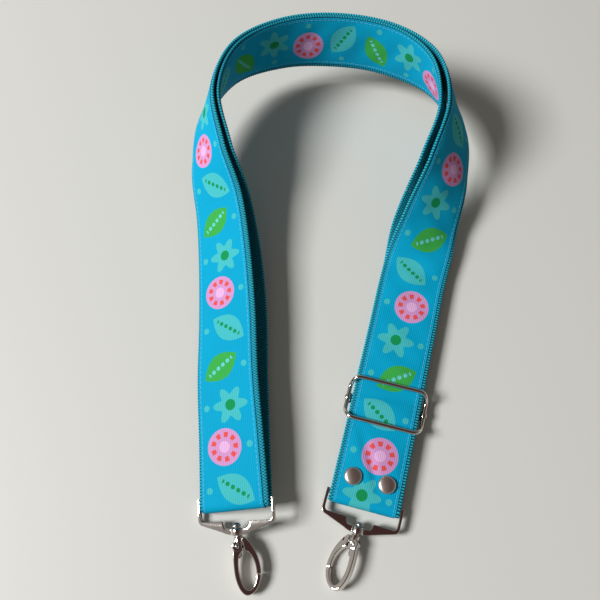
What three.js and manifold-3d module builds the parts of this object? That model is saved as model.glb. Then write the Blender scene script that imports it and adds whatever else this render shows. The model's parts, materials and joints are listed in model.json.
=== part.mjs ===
// Detachable bag strap: a doubled webbing loop with a woven ribbon sewn on its face, a slide
// adjuster with a loose centre bar, two cap rivets and a swivel snap clasp at each end.
// Millimetres, +Z up. The strap lies on its edge round the top and flat at its two ends.

import * as THREE from 'three';
import { mergeVertices } from 'three/addons/utils/BufferGeometryUtils.js';
import Module from 'manifold-3d';

const wasm = await Module();
wasm.setup();

// Driving dimensions of the strap
const webbingWidth = 40;
const webbingThickness = 1.8;
const webbingEdgeRound = 0.6;
const ribbonWidth = 35;
const ribbonThickness = 0.5;
const threadWidth = 0.5;
const threadHeight = 0.3;
const stitchInset = 1.3;
const clearance = 0.3;
const tableGap = 0.1;
const tailLength = 22;
const tailPinchStart = 1.5;
const tailPinch = 5.8;

// Driving dimensions of the strap's route over the table
const routeSpan = 300;
const stationStep = 35;
const straightStations = 4;
const legBearing = THREE.MathUtils.degToRad(14.6);
const legFootShares = [0.119, -0.406];
const loopCutStation = 14.6;

// Driving dimensions of the slide adjuster
const sliderDistance = 55.4;
const sliderRailGap = 24.2;
const sliderSideGap = 1.3;
const sliderWire = 2.2;
const sliderCorner = 4.5;
const sliderBarThickness = 1.2;
const sliderBarWidth = 6;
const sliderEyeWire = 0.8;
const loopOverlap = 25;

// Driving dimensions of the cap rivets
const rivetDistance = 11.8;
const rivetSpacing = 19.2;
const rivetCapDiameter = 10;
const rivetCapHeight = 2.2;
const rivetBackDiameter = 9;
const rivetBackThickness = 1;
const rivetPostDiameter = 2.8;

// Driving dimensions of the swivel clasps
const claspBarDiameter = 3;
const claspSideGap = 0.4;
const claspArmWidth = 1.6;
const claspPlateThickness = 3.2;
const claspWindowDepth = 10.4;
const claspNotchDepth = 3.8;
const claspNotchWidth = 14;
const claspShoulderDepth = 1.4;
const claspBossDepth = 3.6;
const claspBossDiameter = 7.4;
const postDiameter = 3;
const postPlay = 0.6;
const postHeadDiameter = 5;
const postHeadHeight = 2.4;
const headGap = 0.5;
const neckGap = 0.6;
const neckDiameter = 5.2;
const neckBoreDepth = 1.6;
const hookEyeWidth = 9;
const hookEyeLength = 20;
const hookWireWidth = 2.8;
const hookWireThickness = 4.6;
const hookHeadDiameter = 9.6;
const hookHeadThickness = 5;
const cheekThickness = 0.8;
const gatePlateThickness = 1;
const gatePinDiameter = 1.6;
const gateEyeDiameter = 4.4;
const springWire = 0.6;
const springTurns = 1.25;
const leftHookTilt = THREE.MathUtils.degToRad(8.5);
const rightHookTilt = THREE.MathUtils.degToRad(7);
const rightHookTurn = THREE.MathUtils.degToRad(27);
const leftClaspSwing = THREE.MathUtils.degToRad(3);
const rightClaspSwing = THREE.MathUtils.degToRad(-2);

// Fineness of round shapes
const wireSides = 10;
const roundSides = 24;
const postSides = 16;
const cornerSides = 4;
const springSides = 3;
const foldSteps = 8;
const stepsPerStation = 5;
const hookSteps = 26;
const gateSteps = 10;
const springSteps = 24;
const springLegSteps = 4;
const weldDistance = 0.0006;
const nudge = 0.001;

// Values that follow from the driving dimensions
const halfWebbing = webbingThickness / 2;
const ribbonOffset = halfWebbing + clearance + ribbonThickness / 2;
const threadOffset = ribbonOffset + ribbonThickness / 2 + clearance + threadHeight / 2;
const foldSpacing = claspBarDiameter + 2 * clearance + webbingThickness;
const layerStep = webbingThickness + clearance;
const sliderWidth = webbingWidth + 2 * sliderSideGap + sliderWire;
const sliderSpacing = sliderBarThickness + 2 * clearance + webbingThickness + layerStep;
const faceHeight = halfWebbing + clearance + ribbonThickness;

// Stations along the outer layer, from the left clasp's bar over the top to the straight right leg.
// Shares of routeSpan: across, away, lift of the lower edge. Then the lean of the strap's width in
// degrees from flat, the spacing of the two layers as a share of the spacing at the fold, how far
// the inner layer has slipped towards the raised edge as a share of the webbing's width, and how
// many degrees flatter than the outer one the inner layer lies.
const routeShares = [
  [-0.119, -0.408, 0, 15, 1, 0, 0],
  [-0.129, -0.295, 0, 20.5, 0.9, 0, 7],
  [-0.14, -0.178, 0, 24, 0.8, 0.01, 15],
  [-0.1455, -0.058, 0, 27.5, 0.75, 0.01, 17.5],
  [-0.1545, 0.061, 0, 32, 0.75, 0.01, 12.5],
  [-0.168, 0.178, 0.012, 39, 0.8, 0.01, 4.5],
  [-0.191, 0.285, 0.045, 55, 0.75, 0.01, 1],
  [-0.193, 0.395, 0.07, 72, 0.65, 0, 0],
  [-0.14, 0.494, 0.078, 84, 0.5, 0, 0],
  [-0.037, 0.547, 0.076, 94.5, 0.42, 0, 0],
  [0.079, 0.557, 0.075, 99.5, 0.4, 0, 0],
  [0.194, 0.532, 0.075, 97, 0.45, 0, 0],
  [0.289, 0.467, 0.074, 82.5, 0.8, 0, 0],
  [0.326, 0.359, 0.067, 63.5, 1, 0, 0],
  [0.307, 0.249, 0.044, 46, 1, 0.05, 0],
  [0.271, 0.148, 0.01, 27, 0.95, 0.06, 0],
];

const up = new THREE.Vector3(0, 0, 1);

function stationRows() {
  const rows = routeShares.map(([across, away, lift, lean, spacing, slip, spread]) => [
    across * routeSpan,
    away * routeSpan,
    lift * routeSpan,
    THREE.MathUtils.degToRad(lean),
    spacing * foldSpacing,
    slip * webbingWidth,
    THREE.MathUtils.degToRad(spread),
  ]);
  for (let i = straightStations; i >= 0; i--) {
    const distance = i * stationStep;
    rows.push([
      legFootShares[0] * routeSpan + distance * Math.sin(legBearing),
      legFootShares[1] * routeSpan + distance * Math.cos(legBearing),
      0,
      0,
      sliderSpacing,
      0,
      0,
    ]);
  }
  return rows;
}

const stations = stationRows();
const lastStation = stations.length - 1;

// Only the place on the table may swing past its stations; the other columns never overshoot
const placeColumns = 2;

function slope(before, after, column) {
  if (column < placeColumns) return (before + after) / 2;
  return before * after > 0 ? (2 * before * after) / (before + after) : 0;
}

function rowAt(place) {
  const i = Math.min(Math.max(Math.floor(place), 0), lastStation - 1);
  const t = place - i;
  const [b, c] = [stations[i], stations[i + 1]];
  const a = stations[i - 1] ?? b.map((value, k) => 2 * value - c[k]);
  const d = stations[i + 2] ?? c.map((value, k) => 2 * value - b[k]);
  return b.map((value, k) => {
    const rise = c[k] - value;
    const start = slope(value - a[k], rise, k);
    const end = slope(rise, d[k] - c[k], k);
    const square = 3 * rise - 2 * start - end;
    const cube = start + end - 2 * rise;
    return value + start * t + square * t * t + cube * t * t * t;
  });
}

function centreAt(place) {
  const [across, away, lift, lean, spacing] = rowAt(place);
  const stack = (spacing + faceHeight + tableGap) * Math.cos(lean);
  const rise = Math.sin(lean) * webbingWidth / 2;
  return new THREE.Vector3(across, away, lift + stack + rise);
}

// Outer layer: its centre, the way along the route, the way across to the raised edge, and outwards
function outerAt(place) {
  const [, , , lean, spacing, slip, spread] = rowAt(place);
  const along = centreAt(place + nudge).sub(centreAt(place - nudge)).normalize();
  const level = new THREE.Vector3().crossVectors(along, up).normalize();
  const raised = new THREE.Vector3().crossVectors(level, along);
  const side = level.multiplyScalar(Math.cos(lean)).addScaledVector(raised, Math.sin(lean));
  const out = new THREE.Vector3().crossVectors(side, along);
  return { point: centreAt(place), along, side, out, lean, spacing, slip, spread };
}

// Inner layer: it lies under the outer one and its printed face points the other way. It turns flatter
// about its low edge, which stays on the table.
function innerAt(place) {
  const { point, along, side, out, lean, spacing, slip, spread } = outerAt(place);
  const flatter = side.clone().multiplyScalar(Math.cos(spread)).addScaledVector(out, -Math.sin(spread));
  const settle = faceHeight * (Math.cos(lean - spread) - Math.cos(lean));
  const inner = point.clone().addScaledVector(out, -spacing).addScaledVector(up, settle);
  inner.addScaledVector(side, slip - webbingWidth / 2).addScaledVector(flatter, webbingWidth / 2);
  return { point: inner, side: flatter, out: new THREE.Vector3().crossVectors(along, flatter), along };
}

function range(from, to, steps) {
  return Array.from({ length: steps + 1 }, (_, i) => from + ((to - from) * i) / steps);
}

// Half turn of webbing round a bar: centre of the bar, the way away from the strap, first normal
function foldFrames(centre, away, out, side, radius) {
  return range(0, Math.PI, foldSteps).slice(1, -1).map((angle) => {
    const normal = out.clone().multiplyScalar(Math.cos(angle)).addScaledVector(away, Math.sin(angle));
    return { point: centre.clone().addScaledVector(normal, radius), side, out: normal };
  });
}

const leftEnd = outerAt(0);
const rightEnd = outerAt(lastStation);
const foldRadius = foldSpacing / 2;
const leftBar = leftEnd.point.clone().addScaledVector(leftEnd.out, -foldRadius);
const rightBar = rightEnd.point.clone().addScaledVector(rightEnd.out, -foldRadius);
const leftAway = leftEnd.along.clone().negate();
const rightAway = rightEnd.along.clone();

// A frame on the straight right leg: distance up from the clasp's bar, height over the outer layer
function legFrame(distance, height, out) {
  const point = rightEnd.point.clone().addScaledVector(rightAway, -distance);
  return { point: point.addScaledVector(rightEnd.out, height), side: rightEnd.side, out };
}

function tailFrames() {
  const down = rightEnd.out.clone().negate();
  const pinchEnd = tailPinchStart + tailPinch;
  const pinched = range(tailPinchStart, pinchEnd, foldSteps / 2).map((distance) => {
    const share = THREE.MathUtils.smoothstep(distance, tailPinchStart, pinchEnd);
    return legFrame(distance, -THREE.MathUtils.lerp(foldSpacing, layerStep, share), down);
  });
  return [
    legFrame(tailLength, -layerStep, down),
    ...pinched.reverse(),
    legFrame(0, -foldSpacing, down),
  ];
}

function longRunFrames() {
  const outer = range(lastStation, 0, lastStation * stepsPerStation).map(outerAt);
  const inner = range(0, loopCutStation, Math.round(loopCutStation * stepsPerStation)).map(innerAt);
  const rightFold = foldFrames(rightBar, rightAway, rightEnd.out, rightEnd.side, foldRadius).reverse();
  const leftFold = foldFrames(leftBar, leftAway, leftEnd.out, leftEnd.side, foldRadius);
  return [...tailFrames(), ...rightFold, ...outer, ...leftFold, ...inner];
}

// Lower end of the inner layer: down the leg, round the slider's bar and back over itself
function barLoopFrames() {
  const start = loopCutStation + clearance / stationStep;
  const stop = lastStation - (sliderDistance + loopOverlap + tailPinch) / stationStep;
  const run = range(start, stop, Math.round((stop - start) * stepsPerStation)).map(innerAt);
  const down = rightEnd.out.clone().negate();
  const radius = sliderBarThickness / 2 + clearance + halfWebbing;
  const edge = sliderDistance - sliderBarWidth / 2;
  const under = legFrame(edge, -sliderSpacing, down);
  const centre = under.point.clone().addScaledVector(rightEnd.out, radius);
  const turn = foldFrames(centre, rightAway, down, rightEnd.side, radius);
  const over = 2 * radius - sliderSpacing;
  const lapped = layerStep - sliderSpacing;
  const flat = sliderDistance + sliderBarWidth;
  const back = range(flat, flat + tailPinch, foldSteps / 2).map((distance) => {
    const share = THREE.MathUtils.smoothstep(distance, flat, flat + tailPinch);
    return legFrame(distance, THREE.MathUtils.lerp(over, lapped, share), rightEnd.out);
  });
  const end = legFrame(sliderDistance + loopOverlap, lapped, rightEnd.out);
  return { run: [...run, under], loop: [...turn, legFrame(edge, over, rightEnd.out), ...back, end] };
}

function outward(geometry) {
  const position = geometry.getAttribute('position');
  const index = geometry.getIndex().array;
  const [a, b, c] = [new THREE.Vector3(), new THREE.Vector3(), new THREE.Vector3()];
  let volume = 0;
  for (let i = 0; i < index.length; i += 3) {
    a.fromBufferAttribute(position, index[i]);
    b.fromBufferAttribute(position, index[i + 1]);
    c.fromBufferAttribute(position, index[i + 2]);
    volume += a.dot(b.cross(c));
  }
  if (volume < 0) geometry.setIndex([...index].reverse());
  return geometry;
}

function solidOf(rings, index) {
  const geometry = new THREE.BufferGeometry();
  const numbers = rings.flat().flatMap((corner) => corner.toArray());
  geometry.setAttribute('position', new THREE.Float32BufferAttribute(numbers, 3));
  geometry.setIndex(index);
  return outward(geometry);
}

// Closed solid through a row of rings that all have the same number of corners. Where a side of
// the section is marked as backward, its squares are split along the other diagonal, so that both
// faces of a twisted band bend along the same lines.
function loft(rings, backward) {
  const corners = rings[0].length;
  const index = [];
  for (let i = 0; i < rings.length - 1; i++) {
    for (let j = 0; j < corners; j++) {
      const next = (j + 1) % corners;
      const [a, b] = [i * corners + j, i * corners + next];
      const [c, d] = [b + corners, a + corners];
      index.push(...(backward[j] ? [a, b, d, b, c, d] : [a, b, c, a, c, d]));
    }
  }
  const last = (rings.length - 1) * corners;
  for (let j = 1; j < corners - 1; j++) {
    index.push(0, j + 1, j, last, last + j, last + j + 1);
  }
  return solidOf(rings, index);
}

// Ring-shaped solid: the last ring meets the first
function closedLoft(rings) {
  const corners = rings[0].length;
  const index = [];
  rings.forEach((ring, i) => {
    const [here, there] = [i * corners, ((i + 1) % rings.length) * corners];
    for (let j = 0; j < corners; j++) {
      const next = (j + 1) % corners;
      index.push(here + j, here + next, there + next, here + j, there + next, there + j);
    }
  });
  return solidOf(rings, index);
}

// Flat band along frames; the section lists its corners as [across, outwards]
function band(frames, section) {
  const rings = frames.map(({ point, side, out }) => section.map(([across, height]) => (
    point.clone().addScaledVector(side, across).addScaledVector(out, height)
  )));
  return loft(rings, section.map(([across], j) => section[(j + 1) % section.length][0] < across));
}

const half = webbingWidth / 2;
const flatHalf = half - webbingEdgeRound;
const webbingSection = [
  [-half, 0],
  [-flatHalf, -halfWebbing],
  [flatHalf, -halfWebbing],
  [half, 0],
  [flatHalf, halfWebbing],
  [ribbonWidth / 2, halfWebbing],
  [-ribbonWidth / 2, halfWebbing],
  [-flatHalf, halfWebbing],
];

const ribbonLow = ribbonOffset - ribbonThickness / 2;
const ribbonHigh = ribbonOffset + ribbonThickness / 2;
const ribbonSection = [
  [-ribbonWidth / 2, ribbonLow],
  [ribbonWidth / 2, ribbonLow],
  [ribbonWidth / 2, ribbonHigh],
  [-ribbonWidth / 2, ribbonHigh],
];

function threadSection(across) {
  return [
    [across - threadWidth / 2, threadOffset - threadHeight / 2],
    [across + threadWidth / 2, threadOffset - threadHeight / 2],
    [across, threadOffset + threadHeight / 2],
  ];
}

function toSolid(geometry) {
  const bare = geometry.clone();
  bare.deleteAttribute('normal');
  bare.deleteAttribute('uv');
  const merged = outward(mergeVertices(bare, weldDistance));
  return new wasm.Manifold(new wasm.Mesh({
    numProp: 3,
    vertProperties: new Float32Array(merged.getAttribute('position').array),
    triVerts: new Uint32Array(merged.getIndex().array),
  }));
}

function toGeometry(solid) {
  const mesh = solid.getMesh();
  const geometry = new THREE.BufferGeometry();
  geometry.setAttribute('position', new THREE.Float32BufferAttribute(mesh.vertProperties, 3));
  geometry.setIndex(Array.from(mesh.triVerts));
  return geometry;
}

function joined(...geometries) {
  return toGeometry(geometries.map(toSolid).reduce((whole, piece) => whole.add(piece)));
}

function cut(geometry, ...tools) {
  return toGeometry(tools.map(toSolid).reduce((whole, tool) => whole.subtract(tool), toSolid(geometry)));
}

// Upright drum on the Z axis between two heights
function drum(radius, low, high, sides = roundSides) {
  return new THREE.CylinderGeometry(radius, radius, high - low, sides)
    .rotateX(Math.PI / 2)
    .translate(0, 0, (low + high) / 2);
}

function turned(profile, sides = roundSides) {
  const points = profile.map(([radius, height]) => new THREE.Vector2(radius, height));
  return outward(mergeVertices(new THREE.LatheGeometry(points, sides))).rotateX(Math.PI / 2);
}

function finish(color, roughness, metalness) {
  return new THREE.MeshStandardMaterial({ color, roughness, metalness });
}

const webbingFinish = finish(0x0a8f9e, 0.85, 0);
const ribbonFinish = finish(0x12a5dd, 0.6, 0);
const threadFinish = finish(0x7fd3f2, 0.6, 0);
const nickelFinish = finish(0xb9b7b4, 0.22, 1);
const steelFinish = finish(0x8f8f92, 0.35, 1);

function piece(name, geometry, material) {
  geometry.computeVertexNormals();
  const mesh = new THREE.Mesh(geometry, material);
  mesh.name = name;
  return mesh;
}

// Where the rivets pass: their spots on the right leg, square to the outer layer
function rivetPlaces() {
  const turn = new THREE.Matrix4().makeBasis(rightEnd.side, rightAway, rightEnd.out);
  return [-1, 1].map((sign) => {
    const spot = legFrame(rivetDistance, 0, rightEnd.out).point;
    spot.addScaledVector(rightEnd.side, (sign * rivetSpacing) / 2);
    return turn.clone().setPosition(spot);
  });
}

const rivetHoleRadius = rivetPostDiameter / 2 + clearance;
const rivetReach = 2 * foldSpacing;

function rivetHoles() {
  return rivetPlaces().map((place) => drum(rivetHoleRadius, -rivetReach, rivetReach, roundSides / 2)
    .applyMatrix4(place));
}

function strapPieces() {
  const frames = longRunFrames();
  const { run, loop } = barLoopFrames();
  const stitchAcross = ribbonWidth / 2 - stitchInset;
  return [
    piece('webbing_long_run', cut(band(frames, webbingSection), ...rivetHoles()), webbingFinish),
    piece('webbing_bar_loop', band([...run, ...loop], webbingSection), webbingFinish),
    piece('ribbon_long_run', cut(band(frames, ribbonSection), ...rivetHoles()), ribbonFinish),
    piece('ribbon_bar_loop', band(run, ribbonSection), ribbonFinish),
    piece('stitch_row_raised_edge', band(frames, threadSection(stitchAcross)), threadFinish),
    piece('stitch_row_low_edge', band(frames, threadSection(-stitchAcross)), threadFinish),
  ];
}

// Cap rivet: a domed cap with a socket over the ribbon, and a post with a flat back under the tail
function rivetCap() {
  const radius = rivetCapDiameter / 2;
  const seat = faceHeight + clearance;
  const crown = range(0, Math.PI / 2, foldSteps / 2).map((angle) => [
    radius * Math.cos(angle),
    seat + rivetCapHeight / 3 + (rivetCapHeight * 2 / 3) * Math.sin(angle),
  ]);
  crown[crown.length - 1][0] = 0;
  const socketRadius = rivetPostDiameter / 2 + clearance;
  return turned([
    [0, seat + rivetCapHeight / 2],
    [socketRadius, seat + rivetCapHeight / 2],
    [socketRadius, seat],
    [radius, seat],
    ...crown,
  ]);
}

function rivetPost() {
  const top = faceHeight + rivetCapHeight / 2;
  const backTop = -layerStep - faceHeight - clearance;
  const postRadius = rivetPostDiameter / 2;
  const backRadius = rivetBackDiameter / 2;
  return turned([
    [0, backTop - rivetBackThickness],
    [backRadius - rivetBackThickness, backTop - rivetBackThickness],
    [backRadius, backTop],
    [postRadius, backTop],
    [postRadius, top],
    [0, top],
  ]);
}

function rivetPieces() {
  const sides = ['outer', 'inner'];
  return rivetPlaces().flatMap((place, i) => {
    const cap = piece(`rivet_cap_${sides[i]}`, rivetCap(), nickelFinish);
    const post = piece(`rivet_post_${sides[i]}`, rivetPost(), nickelFinish);
    [cap, post].forEach((mesh) => place.decompose(mesh.position, mesh.quaternion, mesh.scale));
    return [cap, post];
  });
}

// Slide adjuster, in its own frame: X across, Y down the leg, Z out of the outer layer
const sliderWireRadius = sliderWire / 2;
const railHeight = faceHeight + clearance + threadHeight + clearance + sliderWireRadius;
const barHeight = halfWebbing + clearance + sliderBarThickness / 2 - sliderSpacing;
const eyeInner = sliderWireRadius + clearance;
const eyeOuter = eyeInner + sliderEyeWire;
const sideWireHeight = barHeight + sliderBarThickness / 2 + eyeInner;

function sliderFrame() {
  const x = sliderWidth / 2;
  const y = sliderRailGap / 2;
  const points = [];
  for (const [signX, signY] of [[1, 1], [-1, 1], [-1, -1], [1, -1]]) {
    const corner = range(0, Math.PI / 2, foldSteps / 2).map((angle) => {
      const turn = signX * signY > 0 ? angle : Math.PI / 2 - angle;
      const across = signX * (x - sliderCorner + sliderCorner * Math.cos(turn));
      const away = signY * (y - sliderCorner + sliderCorner * Math.sin(turn));
      const climb = THREE.MathUtils.smoothstep(Math.sin(turn), 0, 1);
      return new THREE.Vector3(across, away, THREE.MathUtils.lerp(sideWireHeight, railHeight, climb));
    });
    points.push(...corner);
  }
  const rings = points.map((point, i) => {
    const arriving = point.clone().sub(points[(i + points.length - 1) % points.length]).normalize();
    const leaving = points[(i + 1) % points.length].clone().sub(point).normalize();
    const tangent = arriving.add(leaving).normalize();
    const side = new THREE.Vector3().crossVectors(tangent, up).normalize();
    const lift = new THREE.Vector3().crossVectors(side, tangent);
    return range(0, 2 * Math.PI, wireSides).slice(0, -1).map((angle) => point.clone()
      .addScaledVector(side, sliderWireRadius * Math.cos(angle))
      .addScaledVector(lift, sliderWireRadius * Math.sin(angle)));
  });
  return closedLoft(rings);
}

function sliderBar() {
  const reach = sliderWidth / 2;
  const strip = new THREE.BoxGeometry(2 * reach - eyeInner, sliderBarWidth, sliderBarThickness)
    .translate(0, 0, barHeight);
  const roller = (radius, halfLength, sign) => drum(radius, -halfLength, halfLength)
    .rotateX(Math.PI / 2)
    .translate(sign * reach, 0, sideWireHeight);
  const eyes = [-1, 1].map((sign) => roller(eyeOuter, sliderBarWidth / 2, sign));
  const bores = [-1, 1].map((sign) => roller(eyeInner, sliderBarWidth, sign));
  return cut(joined(strip, ...eyes), ...bores);
}

function sliderPieces() {
  const place = new THREE.Matrix4().makeBasis(rightEnd.side, rightAway, rightEnd.out);
  const group = new THREE.Group();
  place.decompose(group.position, group.quaternion, group.scale);
  group.position.copy(legFrame(sliderDistance, 0, rightEnd.out).point);
  group.add(piece('slider_frame', sliderFrame(), nickelFinish));
  group.add(piece('slider_bar', sliderBar(), nickelFinish));
  return group;
}

// Swivel clasp, in its own frame: X across the strap, Y away from the strap, Z through the plate
const windowHalf = webbingWidth / 2 + claspSideGap;
const frameHalf = windowHalf + claspArmWidth;
const notchFloor = claspWindowDepth + claspNotchDepth;
const bossEnd = notchFloor + claspBossDepth;
const postBore = postDiameter / 2 + postPlay;

function claspFrame() {
  const barRadius = claspBarDiameter / 2;
  const bossHalf = claspBossDiameter / 2;
  const cornerDrop = claspWindowDepth + claspShoulderDepth;
  const shoulder = cornerDrop + claspShoulderDepth / 3;
  const notchHalf = claspNotchWidth / 2;
  const outline = new THREE.Shape();
  outline.moveTo(-frameHalf, -barRadius);
  outline.lineTo(frameHalf, -barRadius);
  outline.lineTo(frameHalf, cornerDrop - claspArmWidth);
  outline.quadraticCurveTo(frameHalf, cornerDrop, frameHalf - claspArmWidth, shoulder);
  outline.lineTo(notchHalf, bossEnd - claspShoulderDepth / 2);
  outline.lineTo(bossHalf, bossEnd);
  outline.lineTo(-bossHalf, bossEnd);
  outline.lineTo(-notchHalf, bossEnd - claspShoulderDepth / 2);
  outline.lineTo(claspArmWidth - frameHalf, shoulder);
  outline.quadraticCurveTo(-frameHalf, cornerDrop, -frameHalf, cornerDrop - claspArmWidth);
  outline.closePath();
  const opening = new THREE.Path();
  const easing = claspArmWidth;
  opening.moveTo(-windowHalf, barRadius + clearance);
  opening.lineTo(-windowHalf, claspWindowDepth - easing);
  opening.quadraticCurveTo(-windowHalf, claspWindowDepth, easing - windowHalf, claspWindowDepth);
  opening.lineTo(-notchHalf, claspWindowDepth);
  opening.lineTo(easing / 2 - notchHalf, notchFloor);
  opening.lineTo(notchHalf - easing / 2, notchFloor);
  opening.lineTo(notchHalf, claspWindowDepth);
  opening.lineTo(windowHalf - easing, claspWindowDepth);
  opening.quadraticCurveTo(windowHalf, claspWindowDepth, windowHalf, claspWindowDepth - easing);
  opening.lineTo(windowHalf, barRadius + clearance);
  opening.closePath();
  outline.holes.push(opening);
  const bevel = claspPlateThickness / 8;
  const plate = new THREE.ExtrudeGeometry(outline, {
    depth: claspPlateThickness - 2 * bevel,
    bevelEnabled: true,
    bevelThickness: bevel,
    bevelSize: bevel,
    bevelOffset: -bevel,
    bevelSegments: 1,
    curveSegments: cornerSides,
  }).translate(0, 0, bevel - claspPlateThickness / 2);
  const topStrip = new THREE.BoxGeometry(2 * windowHalf, 2 * claspBarDiameter, 2 * claspPlateThickness)
    .translate(0, barRadius + clearance - claspBarDiameter, 0);
  const bar = drum(barRadius, -windowHalf - claspArmWidth / 2, windowHalf + claspArmWidth / 2, wireSides + 2)
    .rotateY(Math.PI / 2);
  const boss = drum(bossHalf, notchFloor, bossEnd).rotateX(-Math.PI / 2);
  const bore = drum(postBore, claspWindowDepth, bossEnd + claspBossDepth).rotateX(-Math.PI / 2);
  return cut(joined(cut(plate, topStrip), bar, boss), bore);
}

// Post of the swivel: a domed head over the boss, its shank down into the hook's neck
const headSeat = notchFloor - headGap;
const neckTop = bossEnd + neckGap;
const neckBore = postDiameter / 2 + clearance;

function swivelPost() {
  const headRadius = postHeadDiameter / 2;
  const shank = postDiameter / 2;
  const dome = range(0, Math.PI / 2, foldSteps / 2).map((angle) => [
    headRadius * Math.cos(angle),
    -headSeat + postHeadHeight / 3 + (postHeadHeight * 2 / 3) * Math.sin(angle),
  ]);
  dome[dome.length - 1][0] = 0;
  return turned([
    [0, -(neckTop + neckBoreDepth - clearance)],
    [shank, -(neckTop + neckBoreDepth - clearance)],
    [shank, -headSeat],
    [headRadius, -headSeat],
    ...dome,
  ], postSides).rotateX(Math.PI / 2);
}

// Hook, measured from the top of its neck: Y runs down to the tip, the gate is on the +X side
const wireHalf = hookWireWidth / 2;
const eyeHalfWidth = hookEyeWidth / 2 + wireHalf;
const eyeHalfLength = hookEyeLength / 2 + wireHalf;
const eyeTop = hookHeadDiameter * 4 / 5;
const eyeCentre = eyeTop + hookEyeLength / 2;
const headCentre = { x: -hookHeadDiameter / 20, y: hookHeadDiameter / 2 };
const gatePivot = { x: -hookHeadDiameter * 3 / 20, y: hookHeadDiameter / 2 };
const wireStartAngle = THREE.MathUtils.degToRad(29);
const noseAngle = THREE.MathUtils.degToRad(253);
const gateTopAngle = THREE.MathUtils.degToRad(317);
const slotDepth = hookHeadThickness - 2 * cheekThickness;
const slotReach = gateEyeDiameter / 2 + clearance;

function eyePoint(angle) {
  return new THREE.Vector3(
    -eyeHalfWidth * Math.sin(angle),
    eyeCentre - eyeHalfLength * Math.cos(angle),
    0,
  );
}

function wireAlong(from, to, steps) {
  const path = new THREE.CatmullRomCurve3(range(from, to, steps).map(eyePoint));
  const section = new THREE.Shape();
  section.absellipse(0, 0, hookWireThickness / 2, wireHalf, 0, 2 * Math.PI);
  return new THREE.ExtrudeGeometry(section, {
    steps,
    extrudePath: path,
    bevelEnabled: false,
    curveSegments: wireSides / 2,
  });
}

// Ring sector about the gate's pivot at the nose: the gap's faces are arcs that the gate swings along
const noseLap = THREE.MathUtils.degToRad(5);
const nose = eyePoint(noseAngle);
const noseReach = Math.hypot(nose.x - gatePivot.x, nose.y - gatePivot.y);

function noseSector(inner, outer) {
  const middle = Math.atan2(nose.y - gatePivot.y, nose.x - gatePivot.x);
  const shape = new THREE.Shape();
  shape.absarc(0, 0, outer, middle - 2 * noseLap, middle + 2 * noseLap, false);
  shape.absarc(0, 0, inner, middle + 2 * noseLap, middle - 2 * noseLap, true);
  shape.closePath();
  return new THREE.ExtrudeGeometry(shape, {
    depth: 2 * hookHeadThickness,
    bevelEnabled: false,
    curveSegments: wireSides,
  }).translate(gatePivot.x, gatePivot.y, -hookHeadThickness);
}

function hookBody() {
  const wire = wireAlong(wireStartAngle, noseAngle + noseLap, hookSteps);
  const chamfer = cheekThickness / 2;
  const headRadius = hookHeadDiameter / 2;
  const head = turned([
    [0, -hookHeadThickness / 2],
    [headRadius - chamfer, -hookHeadThickness / 2],
    [headRadius, chamfer - hookHeadThickness / 2],
    [headRadius, hookHeadThickness / 2 - chamfer],
    [headRadius - chamfer, hookHeadThickness / 2],
    [0, hookHeadThickness / 2],
  ]).translate(headCentre.x, headCentre.y, 0);
  const neck = drum(neckDiameter / 2, -headCentre.y, 0, postSides).rotateX(Math.PI / 2);
  const bore = drum(neckBore, -neckBoreDepth, neckBoreDepth, postSides).rotateX(Math.PI / 2);
  const slotTop = gatePivot.y - slotReach;
  const slotLength = eyeTop + 2 * hookWireWidth - slotTop;
  const slotWidth = 2 * hookHeadDiameter;
  const slot = new THREE.BoxGeometry(slotWidth, slotLength, slotDepth)
    .translate(gatePivot.x - slotReach + slotWidth / 2, slotTop + slotLength / 2, 0);
  const pinHole = drum(gatePinDiameter / 2 + clearance, -hookHeadThickness, hookHeadThickness, roundSides / 2)
    .translate(gatePivot.x, gatePivot.y, 0);
  const forked = cut(joined(head, neck), slot, bore, pinHole);
  const above = noseSector(noseReach - 2 * hookWireWidth, noseReach + clearance / 2);
  return joined(forked, cut(wire, above));
}

const gatePlateLevel = slotDepth / 2 - clearance - gatePlateThickness / 2;

function gateBody() {
  const below = noseSector(noseReach - clearance / 2, noseReach + 2 * hookWireWidth);
  const arm = cut(wireAlong(noseAngle - noseLap, gateTopAngle, gateSteps), below);
  const armRoot = eyePoint(gateTopAngle - 2 * noseLap);
  const eyeRadius = gateEyeDiameter / 2;
  const lean = Math.atan2(armRoot.y - gatePivot.y, armRoot.x - gatePivot.x);
  const reach = Math.hypot(armRoot.x - gatePivot.x, armRoot.y - gatePivot.y);
  const outline = new THREE.Shape();
  outline.absarc(0, 0, eyeRadius, Math.PI / 2, (3 * Math.PI) / 2);
  outline.lineTo(reach, -wireHalf * 2 / 3);
  outline.lineTo(reach, wireHalf * 2 / 3);
  outline.closePath();
  const plate = new THREE.ExtrudeGeometry(outline, {
    depth: gatePlateThickness,
    bevelEnabled: false,
    curveSegments: wireSides,
  }).translate(0, 0, gatePlateLevel - gatePlateThickness / 2)
    .rotateZ(lean)
    .translate(gatePivot.x, gatePivot.y, 0);
  const hole = drum(gatePinDiameter / 2 + clearance, -hookHeadThickness, hookHeadThickness, roundSides / 2)
    .translate(gatePivot.x, gatePivot.y, 0);
  return cut(joined(arm, plate), hole);
}

function gatePin() {
  return drum(gatePinDiameter / 2, -hookHeadThickness / 2, hookHeadThickness / 2, roundSides / 2)
    .translate(gatePivot.x, gatePivot.y, 0);
}

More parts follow.
